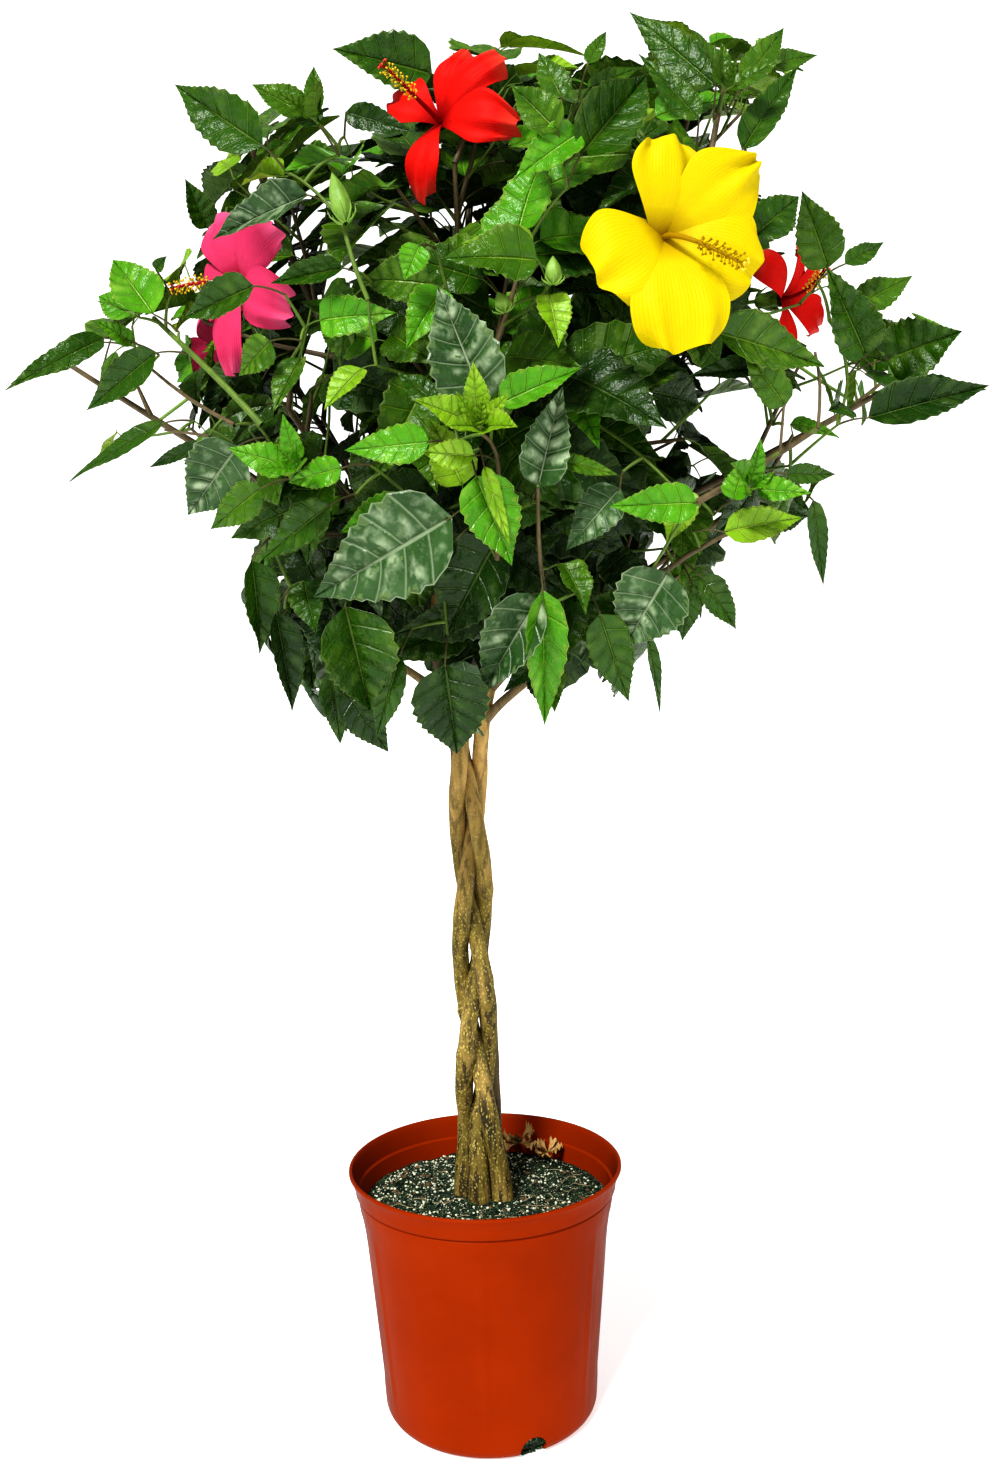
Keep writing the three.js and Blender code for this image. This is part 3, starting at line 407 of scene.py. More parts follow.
EDGE = [
    (2, 388), (40, 355), (94, 318), (112, 326), (102, 280), (132, 252), (166, 258), (180, 262), (200, 236),
    (184, 226), (181, 180), (208, 188), (214, 152), (236, 150), (168, 100), (170, 84), (212, 84), (268, 106),
    (286, 74), (330, 98), (384, 122), (392, 70), (334, 50), (372, 32), (414, 36), (470, 48), (540, 36),
    (590, 50), (600, 28), (612, 42), (588, 76), (640, 72), (626, 10), (676, 8), (734, 44), (766, 22),
    (820, 44), (812, 66), (752, 150), (716, 180), (790, 184), (800, 192), (846, 238), (884, 240), (870, 266),
    (914, 270), (900, 300), (962, 332), (940, 366), (992, 388), (868, 436), (808, 440), (790, 456),
    (840, 472), (812, 498), (830, 548), (820, 588), (806, 524), (780, 532), (778, 548), (752, 530),
    (716, 548), (724, 572), (706, 580), (740, 630), (702, 612), (682, 642), (656, 628), (664, 712),
    (644, 652), (634, 694), (614, 702), (584, 664), (546, 732), (536, 700), (502, 692), (486, 704),
    (486, 756), (438, 754), (410, 718), (428, 664), (404, 676), (384, 718), (390, 754), (356, 726),
    (342, 746), (312, 698), (294, 714), (282, 668), (264, 702), (272, 656), (248, 620), (238, 560),
    (242, 534), (212, 538), (216, 508), (180, 504), (176, 468), (144, 466), (198, 444), (164, 432),
    (60, 484), (120, 424), (196, 422), (148, 372), (84, 412), (84, 386), (60, 362),
]

# Openings that show sky through the crown: the pixel of each one's middle, and its half width and height

SKY = [
    (390, 237, 13, 7), (452, 222, 17, 13), (341, 283, 9, 6), (140, 333, 9, 10), (205, 322, 9, 12),
    (318, 352, 9, 16), (165, 362, 14, 8), (328, 426, 13, 12), (355, 474, 6, 18), (368, 394, 9, 7),
    (240, 476, 14, 7), (296, 402, 7, 7), (657, 432, 9, 11), (720, 380, 23, 8), (742, 428, 42, 30),
    (806, 402, 20, 13), (690, 462, 14, 7), (590, 335, 13, 5), (788, 245, 8, 12), (838, 352, 8, 20),
    (722, 132, 11, 13), (566, 552, 10, 8), (655, 552, 9, 10), (524, 668, 7, 8),
]

GOLDEN = math.radians(137.5)
UP = np.array([0.0, 0.0, 1.0])
LIGHT = np.array([-0.2, -0.9, 0.4])


# Numbers and vectors


def vec(*xyz):
    return np.array(xyz, float)


def unit(v):
    return v / (np.linalg.norm(v) + 1e-12)


def mix(a, b, t):
    return a + (b - a) * t


def heading(turn, rise):
    """The direction with a turn from +X and a rise, both in degrees."""
    a, e = math.radians(turn), math.radians(rise)
    return vec(math.cos(e) * math.cos(a), math.cos(e) * math.sin(a), math.sin(e))


def spoke(first, second, a):
    """The direction at an angle from a first one towards a second one."""
    return first * math.cos(a) + second * math.sin(a)


def smooth(x, low, high):
    t = min(max((x - low) / (high - low), 0), 1)
    return t * t * (3 - 2 * t)


def draws(seed):
    """The same draws as the solids' source makes from a seed."""
    state = seed & 0xFFFFFFFF

    def draw():
        nonlocal state
        state = (state + 0x6D2B79F5) & 0xFFFFFFFF
        t = ((state ^ (state >> 15)) * (1 | state)) & 0xFFFFFFFF
        t = ((t + (((t ^ (t >> 7)) * (61 | t)) & 0xFFFFFFFF)) & 0xFFFFFFFF) ^ t
        return ((t ^ (t >> 14)) & 0xFFFFFFFF) / 4294967296

    return draw


# The camera, and what it sees

ROLL = math.radians(EYE["roll"])
DOWN = math.radians(EYE["down"])
EYE_AT = vec(0, -EYE["back"], EYE["height"])
AHEAD = vec(0, math.cos(DOWN), -math.sin(DOWN))
LEVEL_UP = vec(0, math.sin(DOWN), math.cos(DOWN))
EYE_RIGHT = math.cos(ROLL) * vec(1, 0, 0) - math.sin(ROLL) * LEVEL_UP
EYE_UP = math.sin(ROLL) * vec(1, 0, 0) + math.cos(ROLL) * LEVEL_UP


def seen_at(px, py, y):
    """The point at a depth y that the photograph shows at a pixel."""
    across = (px - PHOTO["middle_x"]) / PHOTO["focal"]
    down = (py - PHOTO["middle_y"]) / PHOTO["focal"]
    ray = AHEAD + EYE_RIGHT * across - EYE_UP * down
    return EYE_AT + ray * ((y - EYE_AT[1]) / ray[1])


def pixels_of(points):
    """The pixels that show some points, as two arrays."""
    rays = np.asarray(points) - EYE_AT
    ahead = rays @ AHEAD
    across = PHOTO["middle_x"] + PHOTO["focal"] * (rays @ EYE_RIGHT) / ahead
    down = PHOTO["middle_y"] - PHOTO["focal"] * (rays @ EYE_UP) / ahead
    return across, down


def within(x, y, corners):
    """Which pixels lie within an outline: those that it passes an odd number of times on one side."""
    ax, ay = np.array(corners, float).T[:, :, None]
    bx, by = np.roll(ax, -1, 0), np.roll(ay, -1, 0)
    crosses = (ay > y) != (by > y)
    with np.errstate(divide="ignore", invalid="ignore"):
        at = ax + (y - ay) / (by - ay) * (bx - ax)
    return (crosses & (x < at)).sum(0) % 2 == 1


def stand(thing, right, up, back, at):
    """Puts a camera or a lamp at a place in metres, turned as its three directions say."""
    rows = [[*(float(d[k]) for d in (right, up, back)), float(at[k])] for k in range(3)]
    thing.matrix_world = Matrix([*rows, [0, 0, 0, 1]])


def put(name, data):
    """A new object in the scene."""
    made = bpy.data.objects.new(name, data)
    bpy.context.scene.collection.objects.link(made)
    return made


def make_camera():
    data = bpy.data.cameras.new("photo_camera")
    data.sensor_width = SENSOR
    data.lens = SENSOR * PHOTO["focal"] / PHOTO["height"]
    data.shift_x = (PHOTO["width"] / 2 - PHOTO["middle_x"]) / PHOTO["height"]
    data.shift_y = (PHOTO["middle_y"] - PHOTO["height"] / 2) / PHOTO["height"]
    camera = put("photo_camera", data)
    stand(camera, EYE_RIGHT, EYE_UP, -AHEAD, EYE_AT * MM)
    bpy.context.scene.camera = camera


def make_sun(name, come_from, spread, strength):
    """A broad soft light from one side, even all over the plant."""
    data = bpy.data.lights.new(name, "SUN")
    data.angle = math.radians(spread)
    data.energy = strength
    back = unit(vec(*come_from))
    right = unit(np.cross(UP, back))
    stand(put(name, data), right, np.cross(back, right), back, back * 3)


def make_studio():
    scene = bpy.context.scene
    scene.view_settings.view_transform = "Standard"
    scene.view_settings.look = "High Contrast"
    world = bpy.data.worlds.new("studio")
    world.use_nodes = True
    sky = world.node_tree.nodes["Background"]
    sky.inputs["Color"].default_value = (1, 1, 1, 1)
    seen = world.node_tree.nodes.new("ShaderNodeLightPath").outputs["Is Camera Ray"]
    strength = world.node_tree.nodes.new("ShaderNodeMapRange")
    strength.inputs["To Min"].default_value = STUDIO["light"]
    strength.inputs["To Max"].default_value = STUDIO["backdrop"]
    world.node_tree.links.new(seen, strength.inputs["Value"])
    world.node_tree.links.new(strength.outputs["Result"], sky.inputs["Strength"])
    scene.world = world
    for name, sun in SUNS.items():
        make_sun(name, *sun)
    bpy.ops.mesh.primitive_plane_add(size=STUDIO["floor"])
    floor = bpy.context.object
    floor.name = "floor"
    shader = Shader("pale_floor", (0.9, 0.9, 0.9), 0.9, Emission_Color=(1, 1, 1, 1), Emission_Strength=0.4)
    floor.data.materials.append(shader.material)


# Materials


class Shader:
    """A material with one Principled surface, and short calls for the nodes that feed it."""

    def __init__(self, name, colour, roughness, **sockets):
        self.material = bpy.data.materials.new(name)
        self.material.use_nodes = True
        self.tree = self.material.node_tree
        self.surface = self.tree.nodes["Principled BSDF"]
        self.set("Base Color", (*colour, 1))
        self.set("Roughness", roughness)
        for socket, value in sockets.items():
            self.set(socket.replace("_", " "), value)

    def set(self, socket, value):
        self.surface.inputs[socket].default_value = value

    def node(self, kind, inputs=None, **settings):
        made = self.tree.nodes.new(kind)
        for key, value in settings.items():
            setattr(made, key, value)
        for key, value in (inputs or {}).items():
            if isinstance(value, bpy.types.NodeSocket):
                self.tree.links.new(value, made.inputs[key])
            else:
                made.inputs[key].default_value = value
        return made

    def place(self, stretch=(1, 1, 1)):
        """Places on the object in metres, stretched along its axes."""
        at = self.node("ShaderNodeTexCoord").outputs["Object"]
        return self.node("ShaderNodeMapping", {"Vector": at, "Scale": stretch}).outputs["Vector"]

    def noise(self, scale, detail=3, stretch=(1, 1, 1), rough=0.55):
        inputs = {"Vector": self.place(stretch), "Scale": scale, "Detail": detail, "Roughness": rough}
        return self.node("ShaderNodeTexNoise", inputs).outputs["Fac"]

    def cells(self, scale, stretch=(1, 1, 1)):
        inputs = {"Vector": self.place(stretch), "Scale": scale}
        return self.node("ShaderNodeTexVoronoi", inputs).outputs["Distance"]

    def own_map(self):
        """How far across and along the mesh's own map a place lies."""
        at = self.node("ShaderNodeTexCoord").outputs["UV"]
        split = self.node("ShaderNodeSeparateXYZ", {"Vector": at})
        return split.outputs["X"], split.outputs["Y"]

    def spread(self, value, low, high, to_low=0, to_high=1):
        inputs = {"Value": value, 1: low, 2: high, 3: to_low, 4: to_high}
        return self.node("ShaderNodeMapRange", inputs).outputs["Result"]

    def maths(self, operation, a, b=0.5):
        return self.node("ShaderNodeMath", {0: a, 1: b}, operation=operation).outputs["Value"]

    def times(self, a, b):
        return self.maths("MULTIPLY", a, b)

    def plus(self, a, b):
        return self.maths("ADD", a, b)

    def blend(self, share, a, b):
        """Colour a, and colour b where share is 1."""
        a, b = (c if isinstance(c, bpy.types.NodeSocket) else (*c, 1) for c in (a, b))
        return self.node("ShaderNodeMix", {0: share, 6: a, 7: b}, data_type="RGBA").outputs[2]

    def colour(self, socket):
        self.tree.links.new(socket, self.surface.inputs["Base Color"])

    def roughness(self, socket):
        self.tree.links.new(socket, self.surface.inputs["Roughness"])

    def bump(self, height, strength, distance):
        inputs = {"Height": height, "Strength": strength, "Distance": distance}
        normal = self.node("ShaderNodeBump", inputs).outputs["Normal"]
        self.tree.links.new(normal, self.surface.inputs["Normal"])


def plastic_material():
    """Satin terracotta plastic, a little faded and scuffed, and darker with painted shade towards the edges
    that turn away from the eye.
    """
    shader = Shader("pot_plastic", (0.27, 0.025, 0.0004), 0.34, Specular_IOR_Level=0.03)
    faded = shader.spread(shader.noise(9, 4), 0.35, 0.7)
    plain = shader.blend(faded, (0.225, 0.024, 0.0), (0.265, 0.029, 0.0))
    # Painted shade: the colour darkens towards the edges that turn away from the eye.
    painted_edge_shade = shader.node("ShaderNodeLayerWeight", {"Blend": 0.5}).outputs["Facing"]
    shader.colour(shader.blend(shader.spread(painted_edge_shade, 0.62, 0.95, 0, 0.75), plain, (0.12, 0.014, 0.002)))
    scuffs = shader.noise(60, 5, (1, 1, 0.25))
    shader.roughness(shader.spread(scuffs, 0.3, 0.75, 0.36, 0.52))
    shader.bump(shader.noise(420, 3), 0.12, 0.0004)
    return shader.material


def soil_material():
    """Black peat with paler crumbs and a green cast."""
    shader = Shader("potting_soil", (0.02, 0.02, 0.015), 0.95, Specular_IOR_Level=0.1)
    crumbs = shader.noise(150, 6)
    dark = shader.blend(shader.spread(crumbs, 0.4, 0.62), (0.003, 0.012, 0.007), (0.028, 0.05, 0.024))
    patchy = shader.spread(shader.noise(38, 3), 0.36, 0.6, 0.25, 1)
    grit = shader.times(shader.spread(shader.cells(520), 0.34, 0.16), patchy)
    shader.colour(shader.blend(shader.times(grit, 0.75), dark, (0.5, 0.53, 0.38)))
    shader.bump(shader.noise(240, 6), 0.9, 0.003)
    return shader.material


def bark_material(name, low, high, spot, dark):
    """Bark from its low to its high colour up the stem, with pale spots and dark furrows whose dark is
    partly painted shade.
    """
    shader = Shader(name, low, 0.78)
    at = shader.node("ShaderNodeTexCoord").outputs["Object"]
    height = shader.node("ShaderNodeSeparateXYZ", {"Vector": at}).outputs["Z"]
    rise = shader.spread(height, 0.45, 0.82)
    low_down = shader.spread(height, 0.62, 0.34, 0.25, 0.7)
    clouds = shader.noise(38, 4, (1, 1, 0.4))
    base = shader.blend(shader.plus(rise, shader.spread(clouds, 0.3, 0.7, -0.3, 0.3)), low, high)
    # Dark furrows, deepest low down: partly the bark's own dark in its cracks and partly painted shade in
    # them.
    furrows = shader.spread(shader.noise(210, 4, (1, 1, 0.12)), 0.53, 0.39)
    deep = shader.times(furrows, shader.plus(low_down, 0.2))
    furrowed = shader.blend(deep, base, dark)
    blotches = shader.spread(shader.noise(75, 5, (1, 1, 0.6)), 0.5, 0.66)
    furrowed = shader.blend(shader.times(blotches, 0.12), furrowed, dark)
    patchy = shader.spread(shader.noise(60, 3), 0.35, 0.65, 0.25, 1)
    spots = shader.times(shader.spread(shader.cells(420, (1, 1, 0.7)), 0.42, 0.2), patchy)
    shader.colour(shader.blend(shader.times(spots, low_down), furrowed, spot))
    relief = shader.plus(shader.noise(260, 5, (1, 1, 0.3)), shader.times(spots, 0.4))
    shader.bump(relief, 0.55, 0.0016)
    return shader.material


def twig_material(name, young, old):
    """Smooth young bark with fine lengthwise streaks."""
    shader = Shader(name, young, 0.6)
    streaks = shader.noise(120, 4, (1, 1, 0.6))
    shader.colour(shader.blend(shader.spread(streaks, 0.35, 0.65), young, old))
    shader.bump(shader.noise(500, 3), 0.3, 0.0006)
    return shader.material


def leaf_material(name, base, fresh, vein_and_sheen_colour, vein_share, roughness, relief, painted_sheen):
    """A blade with paler veins, margin and puckers, and painted glints between its veins: the leaf's own map
    runs along it by veins and across.
    """
    shader = Shader(name, base, roughness, Specular_IOR_Level=0.3)
    across, along = shader.own_map()
    clouds = shader.spread(shader.noise(34, 5), 0.3, 0.7)
    blade = shader.blend(clouds, base, fresh)
    # Paler patches at random.
    pale_patches = shader.spread(shader.noise(85, 5), 0.55, 0.8)
    blade = shader.blend(shader.times(pale_patches, 0.4), blade, vein_and_sheen_colour)
    to_rib = shader.maths("ABSOLUTE", shader.maths("SUBTRACT", across, 0.5))
    to_vein = shader.maths("PINGPONG", shader.times(along, VEIN_PAIRS), 0.5)
    between = shader.spread(to_vein, 0.12, 0.36)
    # Painted glints: the blade turns paler in patches between the veins, as far as the painted sheen share
    # goes.
    painted_glints = shader.times(between, shader.spread(shader.noise(42, 3), 0.5, 0.66))
    blade = shader.blend(shader.times(painted_glints, painted_sheen), blade, vein_and_sheen_colour)
    rib = shader.spread(to_rib, 0.03, 0.012)
    vein_line = shader.spread(to_vein, 0.07, 0.015)
    margin = shader.spread(to_rib, 0.468, 0.49)
    ribs = shader.maths("MAXIMUM", rib, shader.times(vein_line, 0.7))
    lines = shader.maths("MAXIMUM", ribs, margin)
    shader.colour(shader.blend(shader.times(lines, vein_share), blade, vein_and_sheen_colour))
    fine = shader.noise(330, 4)
    puckers = shader.noise(120, 2)
    height = shader.plus(shader.times(fine, 0.5), puckers)
    shader.bump(shader.maths("SUBTRACT", height, shader.times(lines, relief)), 0.8, 0.0022)
    return shader.material


def petal_material(name, base, deep, edge, vein_share):
    """A petal, deeper at its throat, with fine veins that run out to its edge."""
    shader = Shader(name, base, 0.55, Specular_IOR_Level=0.1)
    across, along = shader.own_map()
    throat = shader.spread(along, 0.26, 0.02)
    body = shader.blend(throat, base, deep)
    veins = shader.maths("PINGPONG", shader.times(across, 26), 0.5)
    line = shader.times(shader.spread(veins, 0.14, 0.0), vein_share)
    veined = shader.blend(line, body, deep)
    shader.colour(shader.blend(shader.spread(along, 0.8, 1.0, 0, 0.5), veined, edge))
    crinkle = shader.noise(70, 4)
    shader.bump(shader.plus(crinkle, shader.times(line, -0.25)), 0.6, 0.002)
    return shader.material


def plain_material(name, base, other, roughness, scale, relief=0.4):
    """Two close colours clouded together, with a fine relief."""
    shader = Shader(name, base, roughness)
    shader.colour(shader.blend(shader.spread(shader.noise(scale, 4), 0.35, 0.65), base, other))
    shader.bump(shader.noise(scale * 3, 4), relief, 0.001)
    return shader.material


# Meshes


class Pile:
    """Patches of four-cornered faces, gathered for one joined piece."""

    def __init__(self):
        self.points, self.faces, self.kinds, self.maps = [], [], [], []
        self.count = 0

    def grid(self, points, kind=0, wrap=False, uv=None):
        """Adds a patch: rows of points, each row closed on itself when wrapped."""
        rows, lanes = points.shape[:2]
        index = np.arange(rows * lanes).reshape(rows, lanes) + self.count
        if wrap:
            index = np.concatenate([index, index[:, :1]], axis=1)
        corners = [index[:-1, :-1], index[:-1, 1:], index[1:, 1:], index[1:, :-1]]
        faces = np.stack(corners, axis=-1).reshape(-1, 4)
        if uv is None:
            uv = np.zeros((rows, lanes, 2))
        self.points.append(points.reshape(-1, 3))
        self.maps.append(uv.reshape(-1, 2))
        self.faces.append(faces)
        self.kinds.append(np.full(len(faces), kind))
        self.count += rows * lanes

    def tube(self, line, radii, sides=6, kind=0):
        """Adds a round limb along a line of points."""
        self.grid(rings(line, radii, sides), kind, wrap=True)

    def piece(self, name, materials, replaces=(), slot=None):
        """The piece that all the patches make, riding on its body."""
        points = np.concatenate(self.points) * MM
        faces = np.concatenate(self.faces)
        maps = np.concatenate(self.maps)
        mesh = bpy.data.meshes.new(name)
        mesh.vertices.add(len(points))
        mesh.vertices.foreach_set("co", points.astype(np.float32).ravel())
        mesh.loops.add(faces.size)
        mesh.loops.foreach_set("vertex_index", faces.ravel().astype(np.int32))
        mesh.polygons.add(len(faces))
        mesh.polygons.foreach_set("loop_start", np.arange(0, faces.size, 4, dtype=np.int32))
        mesh.polygons.foreach_set("material_index", np.concatenate(self.kinds).astype(np.int32))
        mesh.polygons.foreach_set("use_smooth", np.ones(len(faces), bool))
        layer = mesh.uv_layers.new(name="blade")
        layer.data.foreach_set("uv", maps[faces.ravel()].astype(np.float32).ravel())
        mesh.update(calc_edges=True)
        mesh.validate()
        for material in materials:
            mesh.materials.append(material)
        piece = put(name, mesh)
        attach(piece, "root")
        if replaces:
            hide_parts(*replaces)
        return piece


def rings(line, radii, sides):
    """Rings of points round a line, each turned as little as possible from the last."""
    line = np.asarray(line, float)
    ahead = np.vstack([line[1:], line[-1:]])
    behind = np.vstack([line[:1], line[:-1]])
    ways = ahead - behind
    ways /= np.linalg.norm(ways, axis=1)[:, None] + 1e-12
    turns = np.arange(sides) * TAU / sides
    across = vec(1, 0, 0)
    made = []
    for point, way, radius in zip(line, ways, radii):
        if abs(way @ across) > 0.9:
            across = vec(0, 1, 0) if abs(way[1]) < 0.9 else vec(0, 0, 1)
        across = unit(across - way * (way @ across))
        third = np.cross(way, across)
        ring = np.cos(turns)[:, None] * across + np.sin(turns)[:, None] * third
        made.append(point + ring * np.reshape(radius, (-1, 1)))
    return np.array(made)


# Limbs, by the source's rule


def plait(i, z):
    turn = TAU * (z - BRAID["rightmost"]) / BRAID["period"]
    a = turn + math.pi / 2 + TAU * i / BRAID["strands"]
    grow = mix(BRAID["foot_grow"], 1, (z - BRAID["foot_end"]) / (BRAID["top"] - BRAID["foot_end"]))
    x = BRAID["lean"] + grow * BRAID["half_width"] * math.sin(a)
    return vec(x, grow * BRAID["half_depth"] * math.sin(2 * a), z)


def stem_point(i, z):
    parting = smooth(z, BRAID["top"], BRAID["leader_top"])
    if i == BRAID["strands"]:
        low = smooth(z, SOIL["top"], REAR_STEM["low_height"])
        high = smooth(z, REAR_STEM["low_height"], BRAID["top"])
        foot, near, top, end = (vec(*REAR_STEM[k]) for k in ("foot", "low", "top", "end"))
        x, y = mix(mix(mix(foot, near, low), top, high), end, parting)
        return vec(x, y, z)
    if z < BRAID["foot_end"]:
        joint = plait(i, BRAID["foot_end"])
        slope = plait(i, BRAID["foot_end"] + 1) - joint
        rise = BRAID["foot_end"] - SOIL["top"]
        t = (BRAID["foot_end"] - z) / rise
        out = smooth(t, 0, 1)
        carry = t * (1 - t) * (1 - t) * rise
        x, y = mix(joint[:2], vec(*STRAND_FEET[i]), out) - slope[:2] * carry
        return vec(x, y, z)
    woven = plait(i, min(z, BRAID["top"] + 60))
    x, y = mix(woven[:2], vec(*STRAND_ENDS[i]), parting)
    return vec(x, y, z)


def stem_radius(z):
    if z < BRAID["foot_end"]:
        flare = (BRAID["foot_end"] - z) / (BRAID["foot_end"] - SOIL["top"])
        return mix(STRAND["low"], STRAND["foot"], flare * flare)
    if z < BRAID["top"]:
        share = (z - BRAID["foot_end"]) / (BRAID["top"] - BRAID["foot_end"])
        return mix(STRAND["low"], STRAND["top"], share)
    share = (z - BRAID["top"]) / (BRAID["leader_top"] - BRAID["top"])
    return mix(STRAND["top"], STRAND["leader"], share)


class Line:
    """A limb's middle line as straight runs, read by its share of length."""

    def __init__(self, corners):
        self.corners = np.asarray(corners, float)
        runs = np.linalg.norm(np.diff(self.corners, axis=0), axis=1)
        self.marks = np.concatenate([[0], np.cumsum(runs)])
        self.length = self.marks[-1]
        self.parent = (None, 0)
        self.grown = 0

    def point(self, share):
        mark = min(max(share, 0), 1) * self.length
        return np.array([np.interp(mark, self.marks, self.corners[:, k]) for k in range(3)])

    def points(self, steps):
        return np.array([self.point(k / steps) for k in range(steps + 1)])

    def grown_points(self, steps):
        """Points as far out as anything grows on the limb."""
        return np.array([self.point(self.grown * k / steps) for k in range(steps + 1)])

    def bear(self, share):
        """Something grows here, so this limb reaches it, and each limb below reaches the next."""
        line = self
        while line is not None:
            line.grown = max(line.grown, share)
            line, share = line.parent

    def way(self, share):
        return unit(self.point(min(share + 1e-4, 1)) - self.point(max(share - 1e-4, 0)))


def curve(root, bend, tip, steps):
    """Corners along a quadratic Bezier curve."""
    t = np.linspace(0, 1, steps + 1)[:, None]
    return (1 - t) ** 2 * root + 2 * t * (1 - t) * bend + t**2 * tip


def mass_tip(mass):
    way = heading(mass["turn"], mass["rise"])
    return vec(*CROWN["middle"]) + way * vec(*CROWN["reach"]) * mass["out"]


def outness(points):
    """How far out points are, as a share of the crown's reach."""
    shares = np.abs(points - vec(*CROWN["middle"])) / vec(*CROWN["reach"])
    return (shares ** CROWN["squareness"]).sum(axis=-1) ** (1 / CROWN["squareness"])


def bough_corners(mass, steps):
    height = mass["fork"] or BRAID["leader_top"]
    root = stem_point(mass["leader"], height)
    aim = mass_tip(mass) - root
    reach = np.linalg.norm(aim)
    end = root + aim * BOUGH["share"] + UP * reach * BOUGH["lift"]
    if mass["fork"]:
        set_off = unit(aim) * (1 - BOUGH["rise"]) + UP * BOUGH["rise"]
    else:
        set_off = unit(root - stem_point(mass["leader"], height - 5))
    bend = root + set_off * reach * BOUGH["share"] * BOUGH["bend"]
    return curve(root, bend, end, steps)


def mass_stem(mass):
    fine = bough_corners(mass, 200)
    ahead = unit(fine[-1] - fine[-2])
    tip = mass_tip(mass)
    bend = fine[-1] + ahead * np.linalg.norm(fine[-1] - tip) * BOUGH["bend"]
    return Line(curve(fine[-1], bend, tip, TWIG["stem_steps"]))


# Growing room: everything already grown, as balls that the next leaf keeps clear of


class Room:
    def __init__(self, capacity=400000):
        self.at = np.zeros((capacity, 3))
        self.radius = np.zeros(capacity)
        self.blade = np.zeros(capacity, bool)
        self.count = 0

    def occupy(self, points, radius, blade=False):
        points = np.atleast_2d(points)
        part = slice(self.count, self.count + len(points))
        self.at[part] = points
        self.radius[part] = radius
        self.blade[part] = blade
        self.count += len(points)

    def clear(self, points, gap, twig_gap, root=None, root_room=0):
        """Whether points keep their gaps. Twigs within root_room of the root don't count."""
        middle = points[len(points) // 2]
        reach = np.linalg.norm(points - middle, axis=1).max()
        at, radius, blade = (a[: self.count] for a in (self.at, self.radius, self.blade))
        near = np.linalg.norm(at - middle, axis=1) < reach + max(gap, twig_gap) + radius
        if root is not None:
            near &= blade | (np.linalg.norm(at - root, axis=1) >= root_room)
        if not near.any():
            return True
        apart = np.linalg.norm(points[:, None] - at[near][None], axis=2)
        return bool((apart > (np.where(blade[near], gap, twig_gap) + radius[near])[None]).all())


room = Room()


# Twigs


def outward(p, flat=False):
    away = p - vec(*CROWN["middle"])
    if flat:
        away = away * vec(1, 1, 0)
    return unit(away)


def side_of(along, turn):
    first = unit(np.cross(along, vec(1, 0, 0) if abs(along[2]) > 0.9 else UP))
    return spoke(first, np.cross(along, first), turn)


def set_off_way(rule, along, turn, out):
    side = side_of(along, turn)
    return unit(along * rule["along"] + side * rule["side"] + out * rule["out"] + UP * rule["up"])


def twig_from(parent, at, turn, length):
    root = parent.point(at)
    out = outward(root)
    way = set_off_way(SHOOT, parent.way(at), turn, out)
    ahead, outer, higher = SHOOT["tip"]
    bend = root + way * length * SHOOT["bend"]
    tip = bend + way * length * ahead + out * length * outer + UP * length * higher
    return Line(curve(root, bend, tip, TWIG["shoot_steps"]))


def try_twig(parent, at, turn, length, reach, radius):
    """A side twig, if one of a few turns round its parent leaves it room."""
    for attempt in range(SHOOT["tries"]):
        line = twig_from(parent, at, turn + attempt * SHOOT["try_turn"], length)
        samples = line.points(8)
        beyond = samples[2:]
        if (outness(beyond) >= reach).any():
            continue
        if room.clear(beyond, TWIG["gap"], TWIG["gap"], samples[0], TWIG["root_room"]):
            room.occupy(samples, radius)
            line.parent = (parent, at)
            return line
    return None


def grow_shoots(mass):
    shoots = []
    for k in range(mass["shoots"]):
        at = mix(SHOOT["first"], SHOOT["last"], k / (mass["shoots"] - 1))
        taper = mix(*SHOOT["foot_to_tip"], at)
        length = SHOOT["length"] * mix(*SHOOT["vary"], mass["draw"]()) * taper
        reach = max(CROWN["shoot_reach"], mass["out"])
        line = try_twig(mass["stem"], at, k * GOLDEN + mass["seed"], length, reach, TWIG["shoot"])
        if line:
            shoots.append(line)
    return shoots


def grow_sprigs(mass):
    """Finer twigs on every shoot."""
    sprigs = []
    for k, shoot in enumerate(mass["shoot_lines"]):
        for j, at in enumerate(SPRIG["places"]):
            length = SPRIG["length"] * mix(*SPRIG["vary"], mass["draw"]())
            reach = max(SPRIG["reach"], mass["out"])
            line = try_twig(shoot, at, (k + j) * GOLDEN + mass["seed"], length, reach, SPRIG["foot"])
            if line:
                sprigs.append(line)
    return sprigs


def twigs_of(mass):
    """Its own twigs: the stem, the shoots on it, and the sprigs on those."""
    return [mass["stem"], *mass["shoot_lines"], *mass["sprig_lines"]]


# Leaves

BLADE_ROWS = np.linspace(0, 1, 9)
BLADE_LANES = np.linspace(-1, 1, 5)
LEAF_WAY = {"along": 0.45, "side": 0.85, "out": 0.35, "up": 0.12}
FACE = {"out": 0.7, "up": 0.4, "light": 0.4, "wild": 0.8}
PULL = {"stalk": 0.7, "out": 0.25, "wild": -0.5}

# Ages, from 0 for the oldest: of the leaves at the tips of a mass's stem and of its other twigs, of the
# inner leaves, of a tuft's two leaves, and how much younger each further try is; and the age from which
# a stalk is green

AGE = {
    "stem_tip": 0.6,
    "twig_tip": 0.9,
    "inner": 0.1,
    "tuft": 1.1,
    "tuft_step": 0.3,
    "try": 0.04,
    "inner_try": 0.07,
    "green_stalk": 0.75,
}

# How leaves differ, as shares: the stalk from the oldest to the youngest, then least and most of each

